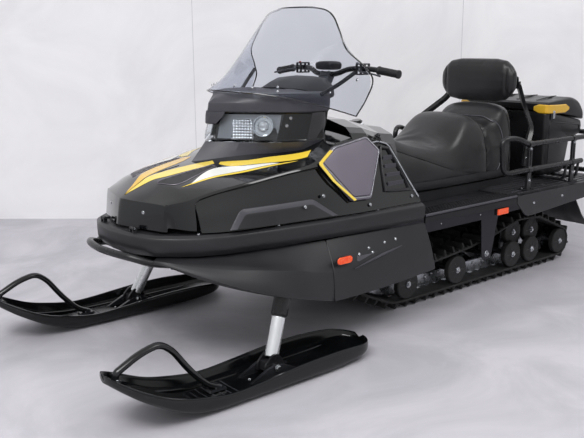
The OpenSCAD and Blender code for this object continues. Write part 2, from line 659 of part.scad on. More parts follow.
rear_seat_sections = [
    [1562, seat_hw, seat_foot, seat_hw - 6, 620, 175, 752, seat_z + 92],
    [1640, seat_hw - 4, seat_foot, seat_hw - 10, 640, 176, 762, seat_z + 96],
    [1690, seat_hw - 10, seat_foot, seat_hw - 14, 660, 178, 806, seat_z + 150],
    [1725, seat_hw - 16, seat_foot, seat_hw - 18, 680, 176, 818, seat_z + 166],
    [1765, seat_hw - 30, seat_foot, seat_hw - 34, 680, 150, 808, seat_z + 160]
];
module seat_front() { color(black) placed() skin([for (s = seat_sections) section(s)]); }
module seat_rear() { color(black) placed() skin([for (s = rear_seat_sections) section(s)]); }
module seat_base() {
    color(gloss) placed() {
        translate([-seat_hw + 12, 948, tunnel_z + 10]) cube([2 * seat_hw - 24, 800, 37]);
        translate([-seat_hw + 12, 948, tunnel_z + 1]) cube([2 * seat_hw - 24, deck_y[0] - 952, 10]);
    }
}
pad_at = [1742, 956];
module backrest_pad() {
    rings = [for (t = [[-1, 0.5], [-0.97, 0.72], [-0.85, 0.92], [-0.5, 1], [0.5, 1], [0.85, 0.92],
        [0.97, 0.72], [1, 0.5]]) [for (k = [0:15]) let (a = k * 22.5)
            [t[0] * backrest_hw, pad_at[0] + t[1] * 52 * cos(a), pad_at[1] + t[1] * 112 * sin(a)]]];
    color(black) placed() skin(rings);
}
rack_hw = rack_w / 2;
rack_r = rack_d / 2;
module backrest_bracket() {
    color(black) placed() {
        translate([-200, pad_at[0] + 53, pad_at[1] - 40]) cube([400, 8, 60]);
        for (s = [-1, 1]) on_side(s) {
            bar(bend([[198, 1808, 930], [236, 1794, 858], [rack_hw - 28, 1706, 742],
                [rack_hw - 26, 1666, 640], [rack_hw - 26, 1662, 560]], 30, 3), 10, [0, 1, 0.3]);
            translate([178, pad_at[0] + 53, 915]) cube([30, 14, 36]);
        }
    }
}

// ---- Cargo rack and box ----
rail_z = 668;
low_rail_z = 546;
rack_y = [1500, 2344];
post_y = [1662, 2040, 2280];
low_rail_end = 2124;
box_cradle_y = [1990, 2100];
module cargo_rack() {
    color(black) placed() {
        for (s = [-1, 1]) on_side(s) {
            bar(bend([[rack_hw, low_rail_end, low_rail_z], [rack_hw, 1600, low_rail_z],
                [rack_hw - 30, rack_y[0], low_rail_z - 14], [rack_hw - 44, rack_y[0], rail_z + 30],
                [rack_hw - 12, 1570, rail_z + 34], [rack_hw, 1650, rail_z], [rack_hw, rack_y[1], rail_z]], 46, 4),
                rack_r, [1, 0.02, 0.01]);
            for (y = post_y) translate([rack_hw - 12, y - 16, deck_z + deck_t + 0.5])
                cube([24, 32, rail_z - deck_z - deck_t - 4]);
            for (y = post_y) translate([rack_hw - 34, y - 26, deck_z + deck_t + 0.5]) cube([60, 52, 6]);
        }
        for (y = box_cradle_y) shaft(y, cradle_z, cradle_r, -rack_hw + 14, rack_hw - 14);
        for (s = [-1, 1]) for (y = box_cradle_y)
            bar([[s * (rack_hw - 20), y, cradle_z], [s * rack_hw, y, low_rail_z]], cradle_r, [0, 1, 0]);
        shaft(rack_y[1], rail_z, rack_r, -rack_hw, rack_hw);
    }
}
cradle_z = 460;
cradle_r = 7;
box_y = [1955, 2300];
box_foot = 470;
// Height of the seam between the box and its lid, at the front and at the rear
seam = [800, 736];
lid_hinge = [2316, 738];
lid_hinge_x = [-150, 150];
module box_outline(k) {
    rise = k > 0 ? 30 : 0;
    polygon([[box_y[0] + k, box_foot + k], [box_y[1] - 160 - k * 0.8, box_foot + k], [box_y[1] - 108 - k, 640 + k],
        [box_y[1] - 98 - k * 0.6, 657 + k], [box_y[1] - k, 672 + k], [box_y[1] - k, seam[1] + rise],
        [box_y[0] + k, seam[0] + rise]]);
}
module lid_knuckle(x0, x1) {
    translate([0, lid_hinge[0], lid_hinge[1]]) rotate([0, 90, 0]) translate([0, 0, x0]) cylinder(r = 7, h = x1 - x0);
}
module cargo_box() {
    color(black) placed() {
        difference() {
            side_plate(-box_w / 2, box_w / 2) box_outline(0);
            side_plate(-box_w / 2 + box_t, box_w / 2 - box_t) box_outline(box_t);
        }
        for (x = lid_hinge_x) {
            for (e = [-16, 9]) {
                lid_knuckle(x + e, x + e + 7);
                translate([x + e, box_y[1] - 2, 722]) cube([7, lid_hinge[0] - box_y[1] + 4, 13]);
            }
            shaft(lid_hinge[0], lid_hinge[1], 3, x - 16, x + 16);
        }
    }
}
lid_lift = 3;
module lid_outline(k) {
    drop = k > 0 ? 12 : 0;
    polygon(concat([[box_y[0] - 4 + k, seam[0] + lid_lift - drop], [box_y[0] - 4 + k, 834 - k],
        [box_y[0] + 8 + k, 843 - k]], bend([[2080, 852 - k], [2185 - k / 2, 864 - k], [2262 - k, 838 - k],
            [box_y[1] + 6 - k, 772], [box_y[1] + 6 - k, seam[1] + lid_lift - drop]], 50, 4)));
}
module cargo_lid() {
    color(black) placed() {
        difference() {
            side_plate(-box_w / 2 - 4, box_w / 2 + 4) lid_outline(0);
            side_plate(-box_w / 2 - 4 + box_t, box_w / 2 + 4 - box_t) lid_outline(box_t);
        }
        for (x = lid_hinge_x) difference() {
            union() {
                lid_knuckle(x - 8, x + 8);
                translate([x - 8, box_y[1] + 4, lid_hinge[1] + 2]) cube([16, lid_hinge[0] - box_y[1] - 2, 8]);
            }
            shaft(lid_hinge[0], lid_hinge[1], 3.15, x - 9, x + 9);
        }
    }
}

// ---- Front struts, spindles and skis ----
sleeve_r = 36;
stem_r = 17;
foot_z = 50;
sleeve_from = 172;
sleeve_to = 314;
tower_z = 300;
// The kingpin's own frame: its foot at the origin and +Z up the kingpin, on the side s
module kingpin(s) {
    dir = [-s * tan(kingpin_lean), tan(kingpin_rake), 1];
    translate([s * stance_hw, 0, foot_z])
        rotate([0, 0, atan2(dir[1], dir[0])]) rotate([0, acos(dir[2] / norm(dir)), 0]) children();
}
module strut_sleeves() {
    color(black) placed() for (s = [-1, 1]) difference() {
        union() {
            kingpin(s) translate([0, 0, sleeve_from]) cylinder(r = sleeve_r, h = sleeve_to - sleeve_from);
            translate([s > 0 ? 195 : -425, 85, tower_z - 30]) cube([230, 70, 50]);
        }
        kingpin(s) translate([0, 0, sleeve_from - 1]) cylinder(r = stem_r + stem_clearance, h = 126);
    }
}
module spindle(s) {
    color(metal) placed() {
        kingpin(s) {
            translate([0, 0, 30]) cylinder(d = spindle_d, h = sleeve_from - 31);
            translate([0, 0, 40]) cylinder(r = stem_r, h = sleeve_from + 78);
        }
        translate([s * stance_hw - 26, -44, 30]) cube([52, 88, 46]);
        shaft(0, foot_z, 9, s * stance_hw - 44, s * stance_hw + 44);
    }
}
// The ski's running surface in side view, from the tip to the tail
sole_line = bend([[-ski_tip, ski_rise - 26], [-ski_tip * 0.92, ski_rise - 66], [-ski_tip * 0.8, 80],
    [-ski_tip * 0.69, 40], [-ski_tip * 0.54, 8], [-ski_tip * 0.38, 6], [ski_tail * 0.66, 6], [ski_tail, 24]], 50, 4);
// The rim's line above it, which rises beside the spindle
rim_line = bend([[-ski_tip, ski_rise], [-ski_tip * 0.92, ski_rise - 30], [-ski_tip * 0.7, 88],
    [-ski_tip * 0.38, 46], [-ski_tip * 0.16, 56], [ski_tail * 0.15, 70], [ski_tail * 0.55, 72], [ski_tail, 56]], 60, 4);
sole_t = 12;
module ski_side(low, upper) {
    polygon(concat([for (p = sole_line) p + [0, low]], [for (k = [len(upper) - 1:-1:0]) upper[k]]));
}
module ski_plan(inset) {
    hw = ski_w / 2 - inset;
    polygon(concat(
        arc([0, ski_tail - 60], hw * 0.92, 0, 180, 12),
        [[-hw, ski_tail - 190], [-hw, -ski_tip * 0.42]],
        [for (a = [0:12:180]) [-hw * cos(a) * 0.96, -ski_tip + 150 + inset - (150 - inset) * sin(a)]],
        [[hw, -ski_tip * 0.42], [hw, ski_tail - 190]]
    ));
}
module ski(s) {
    color(black) placed() translate([s * stance_hw, 0, 0]) difference() {
        union() {
            intersection() {
                side_plate(-ski_w / 2, ski_w / 2) ski_side(0, rim_line);
                linear_extrude(400) ski_plan(0);
            }
            translate([-5, -ski_tip * 0.46, 0]) cube([10, ski_tip * 0.46 + ski_tail * 0.55, 8]);
            for (x = [-41, 29]) side_plate(x, x + 12) polygon([[-130, 14], [-30, 64], [30, 64], [120, 14]]);
        }
        intersection() {
            side_plate(-ski_w / 2 + 18, ski_w / 2 - 18) ski_side(sole_t, [[-ski_tip, 300], [ski_tail, 300]]);
            linear_extrude(400) ski_plan(18);
            union() {
                translate([41.01, -ski_tip, 0]) cube([ski_w, ski_tip + ski_tail, 400]);
                translate([-41.01 - ski_w, -ski_tip, 0]) cube([ski_w, ski_tip + ski_tail, 400]);
                translate([-29, -ski_tip, 0]) cube([58, ski_tip + ski_tail, 400]);
                translate([-60, -ski_tip, 0]) cube([120, ski_tip - 131, 400]);
                translate([-60, 121, 0]) cube([120, ski_tail, 400]);
            }
        }
        shaft(0, foot_z, 9.3, -60, 60);
        translate([0, -ski_tip * 0.934, 0]) cube([26, 28, 800], center = true);
    }
}
module ski_handle(s) {
    color(black) placed() translate([s * stance_hw, 0, 0])
        bar(bend([[0, -ski_tip * 0.934, 136], [0, -ski_tip * 0.934, 180], [0, -ski_tip * 0.8, 222],
            [0, -ski_tip * 0.69, 236], [0, -ski_tip * 0.62, 204], [0, -ski_tip * 0.517, 116],
            [0, -ski_tip * 0.42, 52], [0, -ski_tip * 0.34, 30]], 40, 3), 11, [1, 0, 0]);
}

// ---- Steering ----
bar_centre = [0, 700, 1000];
// The steering column's own frame: its origin at the bar's centre and +Z up the column
module column_axis() { translate(bar_centre) rotate([-column_rake, 0, 0]) children(); }
grip_path = [[0, 702, 1012], [62, 702, 1012], [118, 716, 1036], [bar_w / 2 - 137, 738, 1036],
    [bar_w / 2, 745, 1018]];
module handlebar() {
    color(black) placed() {
        bar(bend(across([for (k = [4:-1:0]) grip_path[k]]), 30, 4), bar_d / 2, [0, 1, 1]);
        column_axis() {
            translate([-30, -20, -26]) cube([60, 40, 44]);
            translate([0, 0, -390]) cylinder(r = 14, h = 380);
        }
    }
}
module handlebar_pad() {
    color(black) placed() skin([for (t = [[1029, 0.8], [1036, 1], [1056, 1], [1066, 0.8]])
        [for (k = [0:11]) let (a = 15 + k * 30) [t[1] * 60 * cos(a), 712 + t[1] * 38 * sin(a), t[0]]]]);
}
module grips() {
    a = grip_path[3];
    b = grip_path[4];
    color(black) placed() for (s = [-1, 1]) on_side(s) difference() {
        bar([lerp(a, b, 0.24), b + unit(b - a) * 4], 17, [0, 1, 1], 16);
        bar([a, b + unit(b - a) * 1], bar_d / 2 + 0.8, [0, 1, 1], 10);
    }
}
module control_levers() {
    color(black) placed() for (s = [-1, 1]) on_side(s) {
        translate([188, 716, 1014]) difference() {
            translate([-16, -14, -2]) cube([32, 56, 46]);
            translate([-20, -4, 4]) cube([40, 36, 34]);
        }
        bar(bend([[196, 700, 1030], [226, 676, 1028], [330, 684, 1012]], 20, 3), 6, [0, 0, 1], 8);
    }
}
module steering_support() {
    color(grey) placed() {
        column_axis() difference() {
            translate([0, 0, -400]) cylinder(r = 24, h = 170);
            translate([0, 0, -395]) cylinder(r = 14.1, h = 170);
        }
        translate([-60, 470, 592]) cube([120, 50, 60]);
    }
}

// ---- Lights ----
module side_reflectors() {
    color("#ff5a28") placed() for (s = [-1, 1]) on_side(s) {
        translate([458, 378, 350]) rotate([0, 8, 0]) hull() for (y = [-26, 26])
            translate([0, y, 0]) rotate([0, 90, 0]) cylinder(r = 16, h = 8, $fn = 24);
        translate([board_out - 22, 1360, 372]) cube([22, 84, 30]);
    }
}
module tail_light() {
    color("#b3161b") placed() translate([-110, rack_y[1] + rack_r + 1, rail_z - 66]) cube([220, 16, 40]);
}

tunnel();
running_board(1);  // running_board_left
running_board(-1);  // running_board_right
rear_deck();
rear_bumper();
tow_hitch();
snow_flap();
belly_pan();
lower_fascia();
footwell(1);  // footwell_left
footwell(-1);  // footwell_right
front_bumper();
engine();
console();
side_panel(1);  // side_panel_left
side_panel(-1);  // side_panel_right
hex_cover(1);  // hex_cover_left
hex_cover(-1);  // hex_cover_right
seat_base();
seat_front();
seat_rear();
backrest_pad();
backrest_bracket();
cargo_rack();
cargo_box();
cargo_lid();
track();
drive_axle();
slide_rails();
suspension_arms();
rear_shock();
rail_wheels();
carrier_wheels();
rear_idlers();
strut_sleeves();
steering_support();
side_reflectors();
tail_light();
hood();
headlight_cowl();
headlight_lens();
headlight_lamps();
instrument_panel();
windscreen();
handlebar();
handlebar_pad();
grips();
control_levers();
spindle(1);  // spindle_left
spindle(-1);  // spindle_right
ski(1);  // ski_left
ski(-1);  // ski_right
ski_handle(1);  // ski_handle_left
ski_handle(-1);  // ski_handle_right
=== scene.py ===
import json
import math
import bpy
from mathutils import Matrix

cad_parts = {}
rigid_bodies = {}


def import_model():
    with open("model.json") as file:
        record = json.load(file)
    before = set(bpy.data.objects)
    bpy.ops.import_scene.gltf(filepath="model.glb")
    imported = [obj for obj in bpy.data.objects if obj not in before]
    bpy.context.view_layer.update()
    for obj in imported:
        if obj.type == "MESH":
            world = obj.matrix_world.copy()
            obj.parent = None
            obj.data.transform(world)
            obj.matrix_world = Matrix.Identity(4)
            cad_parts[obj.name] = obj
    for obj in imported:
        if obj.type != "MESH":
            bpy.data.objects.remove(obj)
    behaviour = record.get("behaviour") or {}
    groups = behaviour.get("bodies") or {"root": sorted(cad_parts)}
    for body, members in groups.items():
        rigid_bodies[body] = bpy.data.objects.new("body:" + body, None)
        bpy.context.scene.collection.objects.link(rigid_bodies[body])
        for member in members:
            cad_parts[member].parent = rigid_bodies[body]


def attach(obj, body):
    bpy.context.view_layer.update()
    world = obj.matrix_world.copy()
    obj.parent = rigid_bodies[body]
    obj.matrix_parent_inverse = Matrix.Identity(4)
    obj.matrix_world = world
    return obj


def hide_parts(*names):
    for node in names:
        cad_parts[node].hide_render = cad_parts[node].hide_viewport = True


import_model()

from types import SimpleNamespace

import bmesh
import bpy
from mathutils import Matrix, Vector
from mathutils.bvhtree import BVHTree
from mathutils.kdtree import KDTree

bl_info = {
    "name": "Wide-track utility snowmobile",
    "version": (1, 0, 0),
    "blender": (4, 5, 0),
    "location": "3D View > Sidebar > Snowmobile",
    "description": "Builds the finished look of the snowmobile over its CAD frame",
    "category": "Object",
}

# Everything below is in millimetres: x to the machine's left, stations rearward from the foot of the
# ski spindles, and heights above the floor. MID is the station of the frame's origin.
MID = 910.0
LEFT, REAR, UP = (1, 0, 0), (0, 1, 0), (0, 0, 1)
SIDES = ((1, "left"), (-1, "right"))
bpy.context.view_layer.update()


# ---- Numbers and paths ----
def place(p):
    """A point in millimetres and stations, in the frame's metres."""
    return Vector((p[0], p[1] - MID, p[2])) / 1000


def lerp(a, b, t):
    if isinstance(a, (int, float)):
        return a + (b - a) * t
    return tuple(x + (y - x) * t for x, y in zip(a, b))


def across(half):
    """A row from its left edge to the centre line, made whole."""
    return list(half) + on_side(half[:-1], -1)[::-1]


def on_side(points, side):
    """Points of the left side, or their mirror image for the right."""
    return [(side * p[0], *p[1:]) for p in points]


def whole(half):
    """A row from its edge towards the middle, which it doesn't reach, joined to its mirror image."""
    return on_side(half, -1) + half[::-1]


def rect(x, y):
    """A rectangle's outline, from its half sizes."""
    return [(-x, -y), (x, -y), (x, y), (-x, y)]


def bend(path, r, steps=5):
    """A path with its corners rounded over the distance r."""
    out = [Vector(path[0])]
    for i in range(1, len(path) - 1):
        p = Vector(path[i])
        a, b = Vector(path[i - 1]) - p, Vector(path[i + 1]) - p
        d = min(r, a.length * 0.48, b.length * 0.48)
        p0, p1 = p + a.normalized() * d, p + b.normalized() * d
        for s in range(steps + 1):
            t = s / steps
            out.append(p0 * (1 - t) ** 2 + p * (2 * t * (1 - t)) + p1 * t * t)
    out.append(Vector(path[-1]))
    return [tuple(p) for p in out]


def rounded(corners, r, steps=3):
    """A closed outline with every corner rounded."""
    start = lerp(corners[-1], corners[0], 0.5)
    return bend([start] + list(corners) + [start], r, steps)[:-1]


def arc(c, r, a0, a1, k):
    """Points of an arc in a plane, angles in degrees."""
    angles = [math.radians(lerp(a0, a1, s / k)) for s in range(k + 1)]
    return [(c[0] + r * math.cos(a), c[1] + r * math.sin(a)) for a in angles]


def squared(c, power):
    """A sine or cosine pushed outwards, which makes a circle squarish."""
    return math.copysign(abs(c) ** power, c)


def smooth(points, n):
    """An even run of n points along a smooth line through the given ones."""
    p = [Vector(q) for q in points]
    fine = []
    for i in range(len(p) - 1):
        a, b, c, d = p[max(i - 1, 0)], p[i], p[i + 1], p[min(i + 2, len(p) - 1)]
        for s in range(12):
            t = s / 12
            fine.append(0.5 * (2 * b + (c - a) * t + (2 * a - 5 * b + 4 * c - d) * t * t
                               + (3 * b - a - 3 * c + d) * t ** 3))
    fine.append(p[-1])
    return even([tuple(q) for q in fine], n)


def even(points, n):
    """n points spaced evenly along a line of points."""
    p = [Vector(q) for q in points]
    run = [0.0]
    for a, b in zip(p, p[1:]):
        run.append(run[-1] + (b - a).length)
    out, k = [], 0
    for i in range(n):
        s = run[-1] * i / (n - 1)
        while k < len(p) - 2 and run[k + 1] < s:
            k += 1
        out.append(tuple(p[k].lerp(p[k + 1], (s - run[k]) / max(run[k + 1] - run[k], 1e-9))))
    return out


def turned_frame(axis):
    """Two directions square to an axis."""
    w = Vector(axis).normalized()
    u = w.cross(Vector(UP) if abs(w.z) < 0.9 else Vector(LEFT)).normalized()
    return u, w.cross(u), w


# ---- Shapes ----
class Shape:
    """Gathers the parts of one piece, each part with its own material."""

    def __init__(self):
        self.points, self.faces, self.marks, self.used = [], [], [], []

    def add(self, points, faces, mat):
        base = len(self.points)
        self.points += [tuple(p) for p in points]
        self.faces += [tuple(base + i for i in f) for f in faces]
        if mat not in self.used:
            self.used.append(mat)
        self.marks += [self.used.index(mat)] * len(faces)

    def grid(self, rows, mat, closed=False, caps=False):
        m = len(rows[0])
        cols = m if closed else m - 1
        faces = [(i * m + j, i * m + (j + 1) % m, (i + 1) * m + (j + 1) % m, (i + 1) * m + j)
                 for i in range(len(rows) - 1) for j in range(cols)]
        if caps:
            faces += [tuple(range(m)), tuple(range((len(rows) - 1) * m, len(rows) * m))]
        self.add([p for row in rows for p in row], faces, mat)

    def sheet(self, rows, t, mat):
        """A panel of thickness t on the far side of the rows' own normals."""
        g = [[Vector(p) for p in row] for row in rows]
        n, m = len(g) - 1, len(g[0]) - 1
        inner = []
        for i in range(n + 1):
            line = []
            for j in range(m + 1):
                a = g[min(i + 1, n)][j] - g[max(i - 1, 0)][j]
                b = g[i][min(j + 1, m)] - g[i][max(j - 1, 0)]
                line.append(tuple(g[i][j] - a.cross(b).normalized() * t))
            inner.append(line)
        both = [list(map(tuple, row)) + list(reversed(inn)) for row, inn in zip(g, inner)]
        self.grid(both, mat, closed=True)
        k, w = 2 * (m + 1), m + 1
        base = len(self.points) - k * (n + 1)
        for row in (0, n):
            o = base + row * k
            rim = [(o + j, o + j + 1, o + k - 2 - j, o + k - 1 - j) for j in range(w - 1)]
            self.faces += rim
            self.marks += [self.used.index(mat)] * len(rim)

    def tube(self, path, r, mat, sides=12, flat=1.0, ref=UP, caps=True):
        """A bar along a path; flat squeezes it along the second direction."""
        p = [Vector(q) for q in path]
        n = len(p) - 1
        rows = []
        for i in range(n + 1):
            t = (p[min(i + 1, n)] - p[max(i - 1, 0)]).normalized()
            u = t.cross(Vector(ref)).normalized()
            v = t.cross(u)
            q = r[i] if isinstance(r, (list, tuple)) else r
            rows.append([tuple(p[i] + u * q * math.cos(a) + v * q * flat * math.sin(a))
                         for a in (k * math.tau / sides for k in range(sides))])
        self.grid(rows, mat, closed=True, caps=caps)

    def turned(self, profile, at, axis, mat, sides=24):
        """A turned part: the profile is (along the axis, radius) from one end to the other."""
        u, v, w = turned_frame(axis)
        c = Vector(at)
        rows = [[tuple(c + w * h + (u * math.cos(a) + v * math.sin(a)) * max(r, 0.01))
                 for a in (k * math.tau / sides for k in range(sides))] for h, r in profile]
        self.grid(rows, mat, closed=True, caps=True)

    def slab(self, outline, at, u, v, depth, mat, taper=0.0):
        """A plate: its outline in the directions u and v, raised by depth along u x v."""
        o, u, v = Vector(at), Vector(u), Vector(v)
        w = u.cross(v).normalized()
        mid = Vector((sum(p[0] for p in outline), sum(p[1] for p in outline))) / len(outline)
        low = [tuple(o + u * p[0] + v * p[1]) for p in outline]
        q = [(lerp(p[0], mid.x, taper), lerp(p[1], mid.y, taper)) for p in outline]
        high = [tuple(o + u * p[0] + v * p[1] + w * depth) for p in q]
        self.grid([low, high], mat, closed=True, caps=True)

    def block(self, lo, hi, mat):
        self.slab([(lo[0], lo[1]), (hi[0], lo[1]), (hi[0], hi[1]), (lo[0], hi[1])], (0, 0, lo[2]),
                  LEFT, REAR, hi[2] - lo[2], mat)

    def bolt(self, at, axis, r, mat):
        """A flanged hexagon head with a small washer."""
        washer = [(0, r * 1.35), (r * 0.16, r * 1.35), (r * 0.16, r * 1.1), (r * 0.22, r * 1.05)]
        self.turned(washer, at, axis, mat, 16)
        self.turned([(r * 0.2, r), (r * 0.75, r), (r * 0.9, r * 0.82)], at, axis, mat, 6)

    def mirror(self):
        """Adds the mirror image of all that is there, on the right side."""
        base = len(self.points)
        self.points += [(-p[0], p[1], p[2]) for p in self.points]
        self.faces += [tuple(base + i for i in f) for f in self.faces]
        self.marks += list(self.marks)

    def make(self, name, body, stands_for=(), bevel=0.0, subdivide=0, crease=30.0, hold=1.0,
             sharp=34.0, side=1, weld=0.02):
        mesh = bpy.data.meshes.new(name)
        mesh.from_pydata([place((side * p[0], p[1], p[2])) for p in self.points], [], self.faces)
        for mat in self.used:
            mesh.materials.append(mat)
        mesh.polygons.foreach_set("material_index", self.marks)
        bm = bmesh.new()
        bm.from_mesh(mesh)
        if weld:
            bmesh.ops.remove_doubles(bm, verts=bm.verts, dist=weld / 1000)
        bmesh.ops.recalc_face_normals(bm, faces=bm.faces)
        if subdivide:
            layer = bm.edges.layers.float.get("crease_edge") or bm.edges.layers.float.new("crease_edge")
            for e in bm.edges:
                if len(e.link_faces) == 2 and math.degrees(e.calc_face_angle(0)) > crease:
                    e[layer] = hold
        bm.to_mesh(mesh)
        bm.free()
        obj = bpy.data.objects.new(name, mesh)
        bpy.context.scene.collection.objects.link(obj)
        if subdivide:
            sub = obj.modifiers.new("Round", "SUBSURF")
            sub.levels = sub.render_levels = subdivide
        if bevel:
            cut = obj.modifiers.new("Edge", "BEVEL")
            cut.width, cut.segments, cut.limit_method = bevel / 1000, 2, "ANGLE"
            cut.angle_limit, cut.harden_normals = math.radians(32), True
            cut.use_clamp_overlap = True
        mesh.shade_smooth()
        mesh.set_sharp_from_angle(angle=math.radians(sharp))
        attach(obj, body)
        if stands_for:
            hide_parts(*([stands_for] if isinstance(stands_for, str) else stands_for))
        return obj


# ---- Materials ----
def linear(code):
    """An sRGB hex colour as linear RGBA."""
    parts = [int(code[i:i + 2], 16) / 255 for i in (1, 3, 5)]
    return tuple(c / 12.92 if c <= 0.04045 else ((c + 0.055) / 1.055) ** 2.4 for c in parts) + (1.0,)


def add(tree, kind, settings=(), links=()):
    """Adds a shader node, sets its properties and input values, and links its inputs."""
    node = tree.nodes.new("ShaderNode" + kind)
    for key, value in dict(settings).items():
        if isinstance(key, str) and hasattr(node, key):
            setattr(node, key, value)
        else:
            node.inputs[key].default_value = value
    for key, source in dict(links).items():
        tree.links.new(source, node.inputs[key])
    return node


def material(name, colour, roughness, metallic=0.0, grain=0.0, bump=0.0, second=None, patch=60.0,
             rub=None, **sockets):
    """A finish: grain and patch are the sizes in mm of its surface grain and of its slow colour change
    towards the second colour; bump is the grain's height in mm; rub is the colour of worn edges."""
    mat = bpy.data.materials.new(name)
    mat.use_nodes = True
    tree = mat.node_tree
    shader = tree.nodes["Principled BSDF"]
    shader.inputs["Base Color"].default_value = linear(colour)
    shader.inputs["Roughness"].default_value = roughness
    shader.inputs["Metallic"].default_value = metallic
    for key, value in sockets.items():
        shader.inputs[key.replace("_", " ")].default_value = value
    where = add(tree, "TexCoord").outputs["Object"]
    cloud = add(tree, "TexNoise", {"Scale": 1000 / patch, "Detail": 4.0}, {"Vector": where})
    shade = add(tree, "MapRange", {"From Min": 0.35, "From Max": 0.7, "To Min": roughness * 0.85,
                                   "To Max": min(roughness * 1.2 + 0.02, 1)},
                {"Value": cloud.outputs["Fac"]})
    tree.links.new(shade.outputs["Result"], shader.inputs["Roughness"])
    if second:
        tint = add(tree, "ValToRGB", {}, {"Fac": cloud.outputs["Fac"]})
        tint.color_ramp.elements[0].position, tint.color_ramp.elements[1].position = 0.36, 0.68
        tint.color_ramp.elements[0].color, tint.color_ramp.elements[1].color = linear(colour), linear(second)
        colour_out = tint.outputs["Color"]
        if rub:
            edge = add(tree, "NewGeometry").outputs["Pointiness"]
            worn = add(tree, "MapRange", {"From Min": 0.53, "From Max": 0.6}, {"Value": edge})
            mix = add(tree, "Mix", {"data_type": "RGBA"}, {})
            tree.links.new(worn.outputs["Result"], mix.inputs["Factor"])
            tree.links.new(colour_out, mix.inputs[6])
            mix.inputs[7].default_value = linear(rub)
            colour_out = mix.outputs[2]
        tree.links.new(colour_out, shader.inputs["Base Color"])
    if bump:
        fine = add(tree, "TexNoise", {"Scale": 1000 / grain, "Detail": 3.0}, {"Vector": where})
        relief = add(tree, "Bump", {"Strength": 1.0, "Distance": bump / 1000},
                     {"Height": fine.outputs["Fac"]})
        tree.links.new(relief.outputs["Normal"], shader.inputs["Normal"])
    return mat


